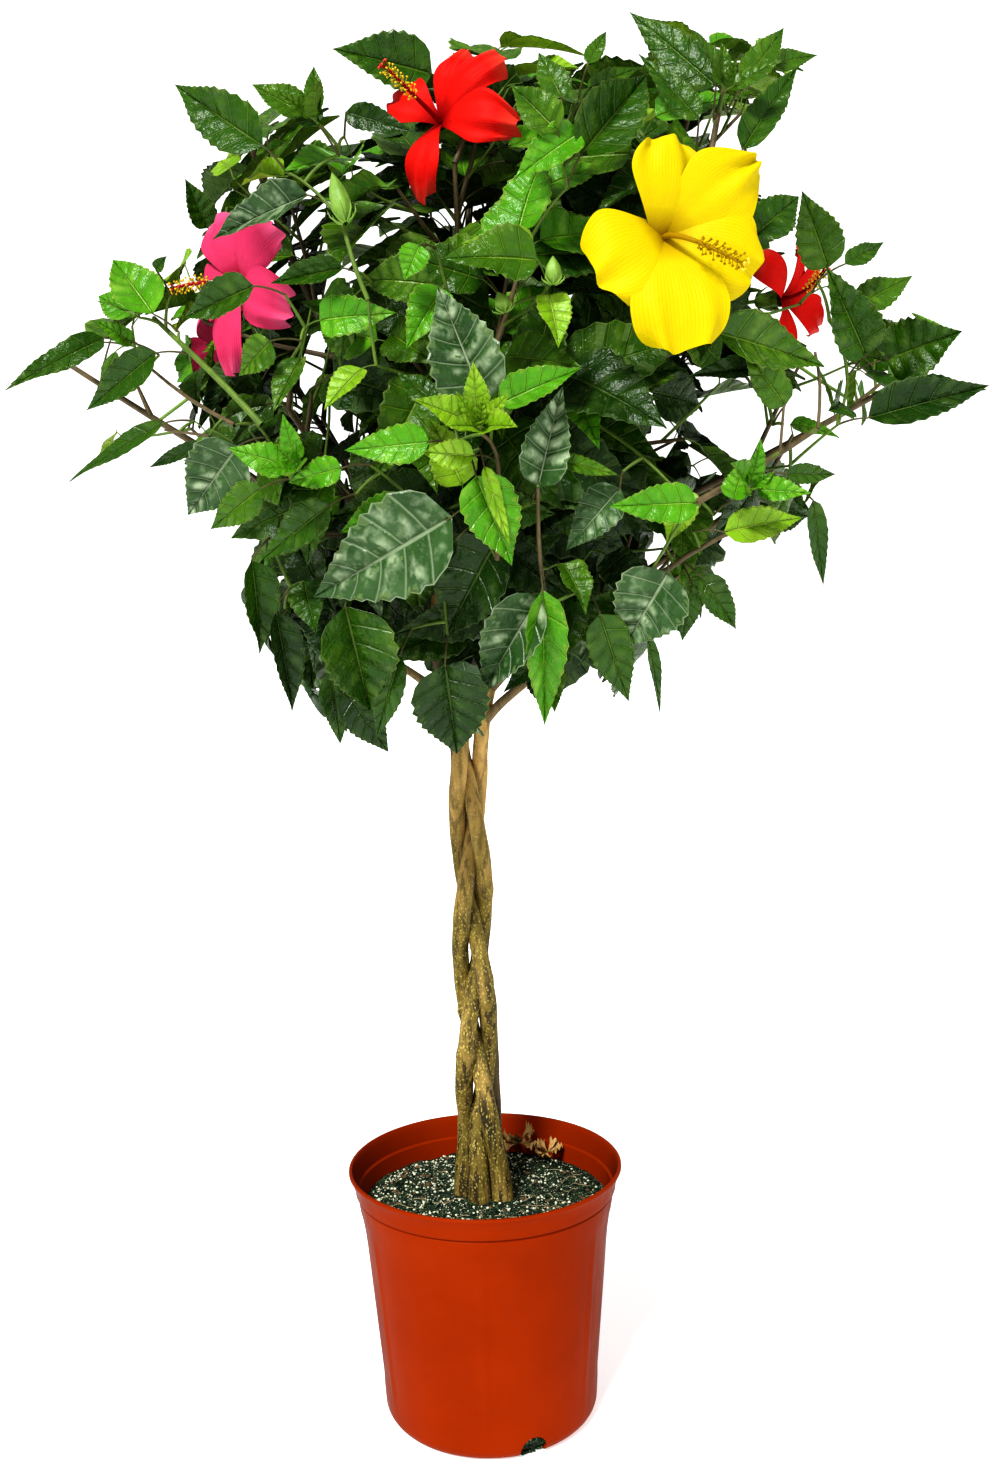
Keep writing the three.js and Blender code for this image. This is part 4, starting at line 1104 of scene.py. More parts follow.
LEAF_LUCK = {
    "stalk_by_age": (1.15, 0.6),
    "stalk": (0.8, 1.2),
    "hang": (0.6, 1.2),
    "length": (0.85, 1.15),
    "width": (0.9, 1.08),
}

shown = []


def blade_half(s):
    """Half the blade's width at a share of its length, as a share of its greatest half width."""
    point = 1 - LEAF["point"] * np.clip((s - 0.5) / 0.5, 0, 1) ** 2
    return np.sin(np.pi * np.clip(s, 0, 1) ** 0.62) ** 0.8 * point


def blade_samples(leaf):
    side = np.cross(leaf["normal"], leaf["axis"])
    s = BLADE_ROWS[:, None]
    across = BLADE_LANES[None] * leaf["width"] * blade_half(s) / 2
    length = leaf["length"]
    points = leaf["base"] + (s * length)[..., None] * leaf["axis"] + across[..., None] * side
    points = points - (LEAF["droop"] * length * s * s)[..., None] * leaf["normal"]
    return points.reshape(-1, 3)


def leaf_at(node, along, turn, age, draw):
    """A leaf on its stalk at a node, which hangs, faces outwards and differs by its age and luck."""
    wild = vec(*(2 * LEAF["unrest"] * (draw() - 0.5) for _ in range(3)))
    stalk = LEAF["stalk"] * mix(*LEAF_LUCK["stalk_by_age"], age) * mix(*LEAF_LUCK["stalk"], draw())
    stalk_way = set_off_way(LEAF_WAY, along, turn, outward(node))
    base = node + stalk_way * stalk
    level = min(max((base[2] - LEAF["lowest"]) / (LEAF["highest"] - LEAF["lowest"]), 0), 1)
    hang = mix(LEAF["hang_low"], LEAF["hang_high"], level) * mix(*LEAF_LUCK["hang"], draw())
    normal = unit(
        outward(base) * FACE["out"] + UP * FACE["up"] + LIGHT * FACE["light"] + wild * FACE["wild"]
    )
    drawn = stalk_way * PULL["stalk"] + outward(base, True) * PULL["out"] - UP * hang + wild * PULL["wild"]
    axis = unit(drawn - normal * (drawn @ normal))
    length = mix(LEAF["old"], LEAF["young"], age) * mix(*LEAF_LUCK["length"], draw())
    return {
        "node": node, "base": base, "axis": axis, "normal": normal, "length": length,
        "width": length * LEAF["slender"] * mix(*LEAF_LUCK["width"], draw()), "age": age, "luck": draw(),
    }


def in_view(blade):
    """Whether a blade keeps to the crown's outline, its openings, and clear of what shows in full."""
    px, py = pixels_of(blade)
    if not within(px, py, EDGE).all():
        return False
    middle_x, middle_y, half_x, half_y = np.array(SKY, float).T[:, :, None]
    if (((px - middle_x) / half_x) ** 2 + ((py - middle_y) / half_y) ** 2 < 1).any():
        return False
    shown_x, shown_y, way_x, way_y, half_along, half_across, distance = np.array(shown).T[:, :, None]
    nearer = np.linalg.norm(blade - EYE_AT, axis=1) < distance
    along = (px - shown_x) * way_x + (py - shown_y) * way_y
    across = (py - shown_y) * way_x - (px - shown_x) * way_y
    return not (nearer & ((along / half_along) ** 2 + (across / half_across) ** 2 < 1)).any()


def show(base, tip, width):
    """Keeps the view of something between two points clear of later leaves."""
    px, py = pixels_of([base, tip])
    length = math.hypot(px[1] - px[0], py[1] - py[0]) + 1e-6
    distance = float(np.linalg.norm((base + tip) / 2 - EYE_AT)) + SHOWN["behind"]
    scale = PHOTO["focal"] / distance
    half_along = length * SHOWN["half_length"] + SHOWN["margin"]
    half_across = width * scale * SHOWN["half_width"] + SHOWN["margin"]
    shown.append((px.mean(), py.mean(), (px[1] - px[0]) / length, (py[1] - py[0]) / length,
                  half_along, half_across, distance))


def leaf_fits(mass, leaf, blade, stalk, gap):
    middle = blade[len(blade) // 2]
    edge = 1 + max(0, mass["out"] - CROWN["usual_out"])
    if (outness(blade) >= edge).any():
        return False
    x, z = blade[:, 0], blade[:, 2]
    lowest = CROWN["low"] + CROWN["underside"] * (x - CROWN["trunk"]) ** 2
    if (z < lowest).any() or z.max() > CROWN["high"]:
        return False
    if x.min() < CROWN["left"] or x.max() > CROWN["right"]:
        return False
    to_hearts = np.linalg.norm(hearts - middle, axis=1)
    if np.linalg.norm(mass["heart"] - middle) > to_hearts.min() + LEAF["slack"]:
        return False
    if not in_view(blade):
        return False
    node, root_room = leaf["node"], LEAF["root_room"]
    return room.clear(blade, gap, LEAF["twig_gap"], node, root_room) and room.clear(
        stalk, LEAF["stalk_gap"], LEAF["stalk_twig_gap"], node, root_room
    )


def keep_leaf(mass, leaf):
    room.occupy(blade_samples(leaf), 0, True)
    room.occupy(stalk_samples(leaf), LEAF["stalk_radius"])
    mass["leaves"].append(leaf)


def stalk_samples(leaf):
    return np.array([mix(leaf["node"], leaf["base"], t) for t in (0.35, 0.6, 0.85)])


def grow_leaf(mass, line, at, try_leaf, gap=LEAF["gap"]):
    """The first of a few tries at a leaf that fits."""
    for attempt in range(LEAF["tries"]):
        tried = try_leaf(attempt)
        if leaf_fits(mass, tried, blade_samples(tried), stalk_samples(tried), gap):
            keep_leaf(mass, tried)
            line.bear(at)
            return


def tip_leaf(mass, attempt):
    """The leaf at the tip of a mass, which goes straight on outwards to the crown's outline."""
    node = mass["stem"].point(1)
    axis = outward(node)
    length = LEAF["tip"] * (1 - 0.12 * attempt)
    base = node + axis * LEAF["tip_stalk"]
    return finished_leaf(node, base, axis, UP + LIGHT * FACE["light"], length, 0.5)


def finished_leaf(node, base, axis, open_to, length, age, width=LEAF["slender"], luck=0.5):
    normal = unit(open_to - axis * (open_to @ axis))
    return {
        "node": node, "base": base, "axis": axis, "normal": normal, "length": length,
        "width": length * width, "age": age, "luck": luck,
    }


def grow_leaves(mass, line, first_age, last_age, index):
    """Leaves along a twig, each a golden turn on from the last, wider apart on far-reaching masses."""
    start = LEAF["from"]
    internode = LEAF["internode"] * (1 + LEAF["open"] * max(0, mass["out"] - CROWN["usual_out"]))
    count = int(line.length * (1 - start) / internode) + 1
    for j in range(count):
        at = mix(start, 0.98, j / max(count - 1, 1))
        age = mix(first_age, last_age, (at - start) / (1 - start))
        turn = j * GOLDEN + index * 2 + mass["seed"]
        node, along = line.point(at), line.way(at)
        grow_leaf(mass, line, at, lambda attempt: leaf_at(
            node, along, turn + attempt * LEAF["try_turn"], age + attempt * AGE["try"], mass["draw"]))


def fill_in(mass, line, index):
    """Old dark leaves between the others, closer set."""
    old, younger = AGE["inner"], AGE["inner_try"]
    count = int(line.length / LEAF["inner_node"]) + 1
    for j in range(count):
        at = (j + 0.5) / count
        turn = j * GOLDEN + index * 3 + mass["seed"] + 1
        node, along = line.point(at), line.way(at)
        grow_leaf(mass, line, at, lambda attempt: leaf_at(
            node, along, turn + attempt * LEAF["try_turn"], old + attempt * younger, mass["draw"]),
            LEAF["inner_gap"])


def grow_tuft(mass, line, index):
    """Two young leaves at a twig's tip."""
    node, along = line.point(1), line.way(1)
    for j in range(2):
        turn = j * GOLDEN + index * 3
        age = AGE["tuft"] + AGE["tuft_step"] * j
        grow_leaf(mass, line, 1, lambda attempt: leaf_at(
            node, along, turn + attempt * LEAF["try_turn"], age, mass["draw"]))


# Leaves, tufts and buds where the photograph shows them


def on_crown(pixel, share):
    """Where the view of a pixel first comes as far into the crown as a share of its reach."""
    depth = CROWN["reach"][1]
    points = np.array([seen_at(*pixel, y) for y in np.arange(-depth, depth, 5.0)])
    out = outness(points)
    inside = np.flatnonzero(out <= share)
    return points[inside[0] if len(inside) else int(out.argmin())]


def nearest_twig(place):
    """The mass whose twigs come nearest to a place, the twig, and the share of its length there."""
    best = (1e9, None, None, None)
    for mass in masses:
        arms = [arm[0] for arm in mass["arms"]]
        for line in [*twigs_of(mass), *arms]:
            samples = line.points(12)
            apart = np.linalg.norm(samples - place, axis=1)
            k = int(apart.argmin())
            if apart[k] < best[0]:
                best = (apart[k], mass, line, k / 12)
    return best


def twig_to(place):
    """A fine twig from the nearest limb to a place, or none where a limb is already there."""
    apart, mass, parent, at = nearest_twig(place)
    parent.bear(at)
    root = parent.point(at)
    if apart > FINE_TWIG["gap"]:
        raised, pushed = UP * apart * FINE_TWIG["raised"], outward(place) * apart * FINE_TWIG["outwards"]
        bend = (root + place) / 2 + raised + pushed
        line = Line(curve(root, bend, place, 6))
        line.grown = 1
        mass["sprig_lines"].append(line)
        room.occupy(line.points(8)[1:], SPRIG["foot"])
    return mass


def place_arm(pixels, share, radii, bark):
    """A stem along the pixels that show it, from the limb that is nearest to its foot."""
    points = [on_crown(pixel, share) for pixel in pixels]
    mass = twig_to(points[0])
    corners = [mix(a, b, t) for a, b in zip(points, points[1:]) for t in (0, 0.5)] + [points[-1]]
    for _ in range(2):
        corners[1:-1] = [(a + 2 * b + c) / 4 for a, b, c in zip(corners, corners[1:], corners[2:])]
    line = Line(corners)
    mass["arms"].append((line, radii, bark))
    room.occupy(line.points(16)[1:], radii[0])


def place_leaf(base_at, tip_at, width, lean, share, tone, depth=None):
    """A leaf between two pixels: its tip goes no more than half as far in depth as across."""
    base = on_crown(base_at, share) if depth is None else seen_at(*base_at, depth)
    across = np.linalg.norm(seen_at(*tip_at, base[1]) - base)
    deeper = on_crown(tip_at, share)[1] - base[1] if depth is None else 0
    tip = seen_at(*tip_at, base[1] + min(max(deeper, -across / 2), across / 2))
    length = np.linalg.norm(tip - base)
    width = width * across / length
    axis = unit(tip - base)
    to_eye = unit(EYE_AT - (base + tip) / 2)
    flat = unit(to_eye - axis * (to_eye @ axis))
    side = np.cross(axis, flat)
    side = side if side[2] + 0.2 * side[0] > 0 else -side
    tilt = math.radians(lean)
    back = unit(-STALK["behind"] * axis - STALK["inside"] * outward(base) - STALK["below"] * UP)
    node = base + back * LEAF["stalk"] * STALK["length"]
    mass = twig_to(node)
    open_to = flat * math.cos(tilt) + side * math.sin(tilt)
    leaf = finished_leaf(node, base, axis, open_to, length, 0.5, width)
    show(base, tip, length * width * math.cos(tilt))
    keep_leaf(mass, {**leaf, "tone": tone, "droop": PLACED_DROOP})


def place_tuft(tip_at, share, count, tone):
    """Young leaves round a shoot's tip, the youngest upright in the middle."""
    tip = on_crown(tip_at, share)
    mass = twig_to(tip)
    way = unit(outward(tip) + UP * 0.8)
    for k in range(count):
        young = k / count
        spread, length, foot, width = (
            mix(*TUFT[key], young) for key in ("spread", "length", "foot", "slender")
        )
        axis = unit(way + side_of(way, k * GOLDEN) * spread)
        open_to = way * 0.8 + unit(EYE_AT - tip) * 0.5
        leaf = finished_leaf(tip, tip + axis * foot, axis, open_to, length, TUFT_AGE, width)
        keep_leaf(mass, {**leaf, "tone": tone, "droop": TUFT_DROOP})
    show(tip - UP * TUFT_REACH, tip + UP * TUFT_REACH, TUFT_WIDTH)


def place_bud(foot_at, tip_at, share, width):
    foot, tip = on_crown(foot_at, share), on_crown(tip_at, share)
    mass = twig_to(foot)
    mass.setdefault("buds", []).append((foot, tip, width))
    show(foot, tip, np.linalg.norm(tip - foot) * width)
    inner = np.array([mix(foot, tip, t) for t in (0.2, 0.5, 0.8)])
    room.occupy(inner, np.linalg.norm(tip - foot) * width / 2)


# A bud's bracts: how many, and their middle line as shares of the bud's length along it and out from it

BRACTS = {"count": 8, "line": [(-0.02, 0.12), (0.05, 0.42), (0.16, 0.66), (0.3, 0.72)]}


def add_bud(pile, foot, tip, width):
    """A closed bud: five folded ribs over an egg shape, in a cup of teeth."""
    length = np.linalg.norm(tip - foot)
    share = np.linspace(0, 1, 15)
    body = width / 2 * length * np.sin(np.pi * np.clip(share, 0.02, 0.985) ** 0.75) ** 0.8
    turn = np.arange(20) * TAU / 20
    ribs = 1 + 0.09 * np.cos(5 * turn)[None] * np.ones((15, 1))
    line = foot + share[:, None] * (tip - foot)
    pile.grid(rings(line, body[:, None] * ribs, 20), GREEN, wrap=True)
    way = unit(tip - foot)
    for k in range(BRACTS["count"]):
        out = side_of(way, TAU * k / BRACTS["count"])
        bract = [foot + way * d * length + out * r * length * width for d, r in BRACTS["line"]]
        pile.tube(bract, [0.9, 0.9, 0.7, 0.15], 5, GREEN)


def leaf_grid(leaf, draw):
    """The detailed blade: rows that follow its side veins, toothed at the rim and puckered between veins."""
    rows = LEAF_ROWS if leaf["fine"] else INNER_LEAF_ROWS
    rib = np.linspace(0, 1, rows + 1)[:, None]
    lane = np.array(LEAF_LANES if leaf["fine"] else LEAF_LANES[::2])[None]
    reach = np.abs(lane)
    rim = rib + 0.17 * np.sin(np.pi * rib) * (1 - 0.3 * rib)
    s = mix(rib, rim, reach**1.15)
    half = blade_half(mix(rib, rim, 0.75 + 0.25 * reach)) * (1 - 0.1 * rib)
    half = np.maximum(half, 0.012)
    tooth = (np.arange(rows + 1)[:, None] % 2) * np.clip((rim - 0.12) * 5, 0, 1)
    notch = 1 - 0.1 * tooth * (reach > 0.9)
    across = lane * half * notch * leaf["width"] / 2
    cup = mix(*LEAF_VARY["cup"], draw()) * leaf["width"]
    fold = mix(*LEAF_VARY["fold"], draw() ** 1.6)
    droop = leaf.get("droop", mix(*LEAF_VARY["droop"], draw())) * leaf["length"]
    wave = mix(*LEAF_VARY["wave"], draw()) * leaf["width"]
    waves = mix(*LEAF_VARY["waves"], draw())
    twist = mix(*LEAF_VARY["twist"], draw())
    phase = draw() * TAU
    depth = LEAF_VARY["pucker"] * leaf["width"]
    pucker = -np.cos(TAU * VEIN_PAIRS * rib) * 4 * reach * (1 - reach) * depth * np.sin(np.pi * rib)
    lift = cup * reach**1.6 * half + fold * np.abs(across) - droop * s * s + pucker
    lift = lift + wave * np.sin(waves * s + phase * np.sign(lane)) * reach**2 * np.sqrt(half)
    across = across * math.cos(math.atan(fold))
    lift = lift - 0.03 * leaf["width"] * np.exp(-((reach / 0.05) ** 2))
    side = np.cross(leaf["normal"], leaf["axis"])
    turn = twist * s
    right = np.cos(turn)[..., None] * side + np.sin(turn)[..., None] * leaf["normal"]
    face = np.cos(turn)[..., None] * leaf["normal"] - np.sin(turn)[..., None] * side
    shrink = 1 - 0.5 * (droop / leaf["length"]) ** 2
    points = (
        leaf["base"]
        + (s * leaf["length"] * shrink)[..., None] * leaf["axis"]
        + across[..., None] * right
        + lift[..., None] * face
    )
    uv = np.stack(np.broadcast_arrays(0.5 + lane / 2, rib), axis=-1)
    rim_mask = np.ones(points.shape[:2])
    rim_mask[0] = rim_mask[-1] = 0
    rim_mask[:, 0] = rim_mask[:, -1] = 0
    thick = (0.22 * rim_mask)[..., None] * face
    return points + thick, points - thick, uv


# The leaves' tones, the level below which each but the last two is taken, what raises the level, and the
# luck that makes a leaf grey below a level

TONES = ("dark", "mid", "fresh", "bright", "lime", "grey")
TONE_LIMITS = (0.25, 0.62, 1.0, 1.4)
# Height raises the level partly as real paler young growth and partly as painted light; standing further out
# raises it as painted light, and depth in the crown lowers it as painted shade.
LEVEL = {"age": 0.75, "height": 0.6, "luck": 0.8, "out": 0.9}
GREY = {"luck": 0.84, "below": 0.6}


def tone_of(mass, leaf, height):
    """The leaf's green, from dark for an old leaf low down to lime for a young one high up: height makes it
    lighter partly as real paler growth and partly as painted light, and depth in the crown darkens it as
    painted shade.
    """
    depth = float(outness(leaf["base"][None])[0]) - 0.8
    level = LEVEL["age"] * leaf["age"] + LEVEL["height"] * (height - 0.5) + mass["fresh"]
    level += LEVEL["luck"] * (leaf["luck"] - 0.5)
    # Painted shade deep in the crown and painted light further out.
    level += LEVEL["out"] * min(depth, 0.2)
    if leaf["luck"] > GREY["luck"] and level < GREY["below"]:
        return TONES.index("grey")
    for k, limit in enumerate(TONE_LIMITS):
        if level < limit:
            return k
    return TONES.index("lime")


def add_leaf(pile, twigs, mass, leaf, draw):
    leaf["fine"] = "tone" in leaf or outness(leaf["base"][None])[0] > FINE_FROM
    top, under, uv = leaf_grid(leaf, draw)
    height = (leaf["base"][2] - CROWN["low"]) / (CROWN["high"] - CROWN["low"])
    tone = TONES.index(leaf["tone"]) if "tone" in leaf else tone_of(mass, leaf, height)
    pile.grid(top[:, ::-1], 2 * tone, uv=uv[:, ::-1])
    pile.grid(under, 2 * tone + 1, uv=uv)
    node, base = leaf["node"], leaf["base"]
    sag = 0.12 * np.linalg.norm(base - node)
    bend = (node + base) / 2 + UP * sag
    tip = base + leaf["axis"] * leaf["length"] * 0.04
    line = np.vstack([curve(node, bend, base, 5), tip])
    radii = np.append(np.linspace(1.15, 0.8, 6), 0.6) * LEAF["stalk_radius"] * mix(1.1, 0.8, leaf["age"])
    twigs.tube(line, radii, 5, 1 if leaf["age"] < AGE["green_stalk"] else 2)


# Blooms


def bloom_frame(bloom):
    """The way a bloom faces, the way to its side, and its top."""
    front = heading(bloom["azimuth"], bloom["elevation"])
    right = unit(np.cross(front, UP))
    return front, right, np.cross(right, front)


def bloom_stalk(bloom, stem, steps):
    front = bloom_frame(bloom)[0]
    root = stem.point(bloom["root"])
    calyx = vec(*bloom["throat"]) - front * 30
    bend = calyx - front * 0.4 * np.linalg.norm(root - calyx)
    return curve(root, bend, calyx, steps)


# The room that a bloom takes: rings of balls over its petals, at shares of their length, how many balls
# and how far ahead, with their radius in millimetres; balls ahead of the throat, as shares of the
# petals' length; and the calyx and stalk, with the calyx's distance behind the throat.

BLOOM_ROOM = {
    "rings": (0.3, 0.6, 0.9),
    "balls": 12,
    "ring_ahead": 0.2,
    "ball": 14,
    "ahead": ((0.6, 0.6), (1, 0.6), (1.4, 0.55)),
    "calyx_behind": 15,
    "calyx": 12,
    "stalk": 3,
}


def occupy_bloom(bloom):
    front, right, top = bloom_frame(bloom)
    throat = vec(*bloom["throat"])
    size = bloom["petal"]
    for share in BLOOM_ROOM["rings"]:
        for k in range(BLOOM_ROOM["balls"]):
            out = spoke(right, top, TAU * k / BLOOM_ROOM["balls"])
            at = throat + out * share * size + front * BLOOM_ROOM["ring_ahead"] * size
            room.occupy(at, BLOOM_ROOM["ball"])
    for ahead, radius in BLOOM_ROOM["ahead"]:
        room.occupy(throat + front * ahead * size, radius * size)
    room.occupy(throat - front * BLOOM_ROOM["calyx_behind"], BLOOM_ROOM["calyx"])
    if throat[1] <= 0:
        seen = 0.95
    else:
        seen = 0.6 if bloom["azimuth"] < 0 else 0
    if seen:
        show(throat - top * seen * size, throat + top * seen * size, 2 * seen * size)
    stem = by_name[bloom["mass"]]["stem"]
    room.occupy(bloom_stalk(bloom, stem, 12), BLOOM_ROOM["stalk"])


# A petal: its rows and lanes of points; in shares of its length or width where it is widest, how its end
# closes and rounds off, the waves of its end, how it bows forward, sinks into the throat, laps over its
# neighbour and folds along its middle; and its thickness in millimetres. Then for each colour the
# width of its claw, where it starts, and how uneven its sides are, in shares of its width.

PETAL = {
    "rows": 23,
    "lanes": 21,
    "widest": 0.7,
    "close": 0.3,
    "round": 0.12,
    "lobes": 0.02,
    "ruffle": 0.05,
    "bow": 0.3,
    "sunk": 0.05,
    "lap": 0.06,
    "gutter": 0.05,
    "thick": 0.35,
}
PETAL_SIDES = {"yellow": (0.34, 0.02), "red": (0.15, 0.045), "pink": (0.15, 0.045)}


def petal_grid(bloom, turn, length, width, curl, point, draw):
    """One petal: a narrow claw, a broad ruffled end, and one side lapped over its neighbour."""
    front, right, top = bloom_frame(bloom)
    out = spoke(top, right, turn)
    across = np.cross(front, out)
    v = np.linspace(0, 1, PETAL["rows"])[:, None]
    u = np.linspace(-1, 1, PETAL["lanes"])[None]
    claw, uneven = PETAL_SIDES[bloom["colour"]]
    widening = claw + (1 - claw) * np.sin(np.pi / 2 * np.clip(v / PETAL["widest"], 0, 1)) ** 1.25
    past = np.clip((v - 0.5) / 0.5, 0, 1)
    half = width / 2 * widening * (1 - PETAL["close"] * past**3) * (1 - point * past**1.5)
    along = length * v * (1 - PETAL["round"] * (1 - point) * (u * v) ** 2)
    phase = draw() * TAU
    along = along * (1 + PETAL["lobes"] * v**4 * np.sin(5 * u + 2 * phase))
    half = half * (1 + uneven * np.sin(9 * v + phase))
    ruffle = PETAL["ruffle"] * length * v**2.5 * (np.sin(6.5 * u + phase) + 0.5 * np.sin(11 * u - phase))
    bow = PETAL["bow"] * np.sin(np.pi * v**0.85 * 0.62) * 1.1
    forward = length * (bow - curl * v**2.6) - PETAL["sunk"] * length
    forward = forward + ruffle + PETAL["lap"] * length * u * v - PETAL["gutter"] * length * u * u * v
    throat = vec(*bloom["throat"])
    points = (
        throat
        + along[..., None] * out
        + (u * half)[..., None] * across
        + forward[..., None] * front
    )
    uv = np.stack(np.broadcast_arrays(0.5 + u / 2, v), axis=-1)
    return points, points - PETAL["thick"] * front, uv


# Each petal: its turn to the viewer's right from the top in degrees, its length and width as shares of
# the bloom's petal size, how far its end curls back, and how pointed it is.

PETAL_SHAPES = {
    "yellow": [(2, 0.84, 0.72, 0.1, 0.0), (112, 0.88, 0.86, 0.1, 0.05), (54, 1.02, 0.8, 0.04, 0.5),
               (238, 0.78, 0.98, 0.12, 0.0), (176, 1.08, 0.92, 0.06, 0.0)],
    "red": [(22, 0.9, 0.42, 0.25, 0.1), (54, 1.06, 0.46, 0.2, 0.1), (104, 1.14, 0.64, 0.24, 0.3),
            (192, 1.0, 0.54, 0.3, 0.0), (304, 0.92, 0.66, 0.35, 0.0)],
    "pink": [(-14, 0.9, 0.72, 0.2, 0.2), (52, 0.9, 0.7, 0.25, 0.1), (118, 1.1, 0.78, 0.2, 0.2),
             (184, 1.16, 0.7, 0.15, 0.3), (262, 0.7, 0.74, 0.2, 0.0)],
}
PETAL_KINDS = {"yellow": 0, "red": 1, "pink": 2}
GREEN, GOLD, DARK_RED = 3, 4, 5
COLUMNS = {"yellow": (0.5, 0.38, 0.5), "red": (0.8, -0.3, -0.3), "pink": (0.7, 0.1, -0.4)}
STAMENS = {"count": 46, "places": (0.5, 0.97), "length": (4.5, 7.5)}
STIGMA = {"count": 5, "length": 6}
STIGMAS = {"yellow": GOLD, "red": DARK_RED, "pink": GOLD}

# The calyx: its cup as distances ahead of the throat and radii; then its teeth and its bracts: how many,
# where the first stands, in steps, their middle lines as distances ahead and out, radii and sides.

CALYX = {
    "cup": [(-31, 2.2), (-28, 5.4), (-24, 7.2), (-16, 7.6), (-8, 7.0), (-3, 7.4)],
    "teeth": (5, 0.5, [(-18, 5.5), (-12, 7.6), (-8, 8.8), (-5, 10)], [3.2, 2.9, 1.8, 0.2], 6),
    "bracts": (8, 0, [(-29, 4), (-26, 8), (-21, 11.5), (-16, 13)], [0.8, 0.9, 0.7, 0.1], 5),
}


def add_bloom(pile, bloom, stem, draw):
    kind = PETAL_KINDS[bloom["colour"]]
    size = bloom["petal"]
    front, right, top = bloom_frame(bloom)
    throat = vec(*bloom["throat"])
    for turn, length, width, curl, point in PETAL_SHAPES[bloom["colour"]]:
        turned = -math.radians(turn)
        face, back, uv = petal_grid(bloom, turned, length * size, width * size, curl, point, draw)
        pile.grid(face[:, ::-1], kind, uv=uv[:, ::-1])
        pile.grid(back, kind, uv=uv)
    stalk = bloom_stalk(bloom, stem, 14)
    pile.tube(stalk, np.linspace(1.5, 1.9, 15), 8, GREEN)
    add_calyx(pile, throat, front, right, top)
    add_column(pile, bloom, throat, front, top, draw)


def add_calyx(pile, throat, front, right, top):
    """The green cup, its five teeth, and the ring of narrow bracts under it."""
    ahead, radii = np.array(CALYX["cup"]).T
    pile.tube(throat + ahead[:, None] * front, radii, 20, GREEN)
    for part in ("teeth", "bracts"):
        count, first, places, radii, sides = CALYX[part]
        for k in range(count):
            out = spoke(right, top, TAU * (k + first) / count)
            pile.tube([throat + front * d + out * r for d, r in places], radii, sides, GREEN)


def add_column(pile, bloom, throat, front, top, draw):
    """The column of stamens: a smooth tube, filaments with anthers over its outer half, five stigmas."""
    size = bloom["petal"]
    reach, drop, sway = COLUMNS[bloom["colour"]]
    side = np.cross(top, front)
    end = throat + (front * reach - top * drop + side * sway) * size
    bend = throat + front * size * reach * 0.5
    line = Line(curve(throat - front * 4, bend, end, 12))
    anther = PETAL_KINDS["yellow"] if bloom["colour"] == "yellow" else GOLD
    pile.tube(line.points(12), np.linspace(2.3, 1.1, 13), 8, PETAL_KINDS[bloom["colour"]])
    for k in range(STAMENS["count"]):
        at = mix(*STAMENS["places"], k / (STAMENS["count"] - 1))
        way = unit(side_of(line.way(at), k * GOLDEN) + line.way(at) * 0.5)
        foot = line.point(at)
        head = foot + way * mix(*STAMENS["length"], draw())
        pile.tube([foot, head], [0.3, 0.25], 4, anther)
        pile.tube(head + np.array([[-0.9], [-0.5], [0.5], [0.9]]) * way, [0.15, 0.95, 0.95, 0.15], 6, anther)
    for k in range(STIGMA["count"]):
        way = unit(side_of(line.way(1), TAU * k / STIGMA["count"]) + line.way(1) * 1.1)
        foot, head = line.point(1), line.point(1) + way * STIGMA["length"]
        pile.tube([foot, head], [0.45, 0.4], 5, PETAL_KINDS[bloom["colour"]])
        pad = head + np.array([[-0.9], [-0.4], [0.7], [1.2]]) * way
        pile.tube(pad, [0.4, 1.3, 1.3, 0.3], 8, STIGMAS[bloom["colour"]])


# Pot


def pot_profile():
    """The pot's section, up the outside, over the lip and down the inside."""
    top, wall, floor = POT["height"], POT["wall"], POT["floor"]
    foot_at, shoulder_at, neck_at, ledge_at, lip_at = (
        POT[k] for k in ("foot_radius", "shoulder_radius", "body_top_radius", "ledge_radius", "lip_radius")
    )
    ledge, shoulder = top - POT["ledge_drop"], top - POT["shoulder_drop"]
    turn = np.linspace(0, math.pi / 2, 8)
    r = POT["foot_round"]
    outer_foot = [(foot_at - r * (1 - math.sin(a)), r * (1 - math.cos(a))) for a in turn]
    q = r - wall / 2
    inner_foot = [(foot_at - wall - q * (1 - math.sin(a)), floor + q * (1 - math.cos(a))) for a in turn]
    body = [(mix(foot_at, shoulder_at, t), mix(r, shoulder, t)) for t in np.linspace(0, 1, 14)[1:]]
    outside = [
        (3, 0), (60, 0), *outer_foot, *body,
        (mix(shoulder_at, neck_at, 0.4), mix(shoulder, ledge, 0.3)),
        (neck_at - 0.4, ledge - 3), (neck_at - 1.6, ledge - 1.4), (neck_at - 1.6, ledge - 0.2),
        (ledge_at - 0.5, ledge), (ledge_at, ledge + 0.8), (ledge_at + 0.6, ledge + 6),
        (lip_at - 2.4, top - 7), (lip_at - 1, top - 4), (lip_at, top - 2.6), (lip_at - 0.1, top - 1),
        (lip_at - 0.9, top - 0.1), (lip_at - 1.8, top),
    ]
    inside = [
        (lip_at - wall - 0.9, top - 0.1), (lip_at - wall - 1.7, top - 1.2), (lip_at - wall - 3.2, top - 6),
        (ledge_at - wall + 0.4, ledge + 5), (ledge_at - wall, ledge + 1.4),
        (ledge_at - wall - 0.8, ledge + 0.6), (neck_at - wall - 0.6, ledge - 0.2),
        (neck_at - wall - 1, ledge - 2), (shoulder_at - wall, shoulder), *inner_foot[::-1],
        (60, floor), (3, floor),
    ]
    return np.array(outside + inside), len(outside)


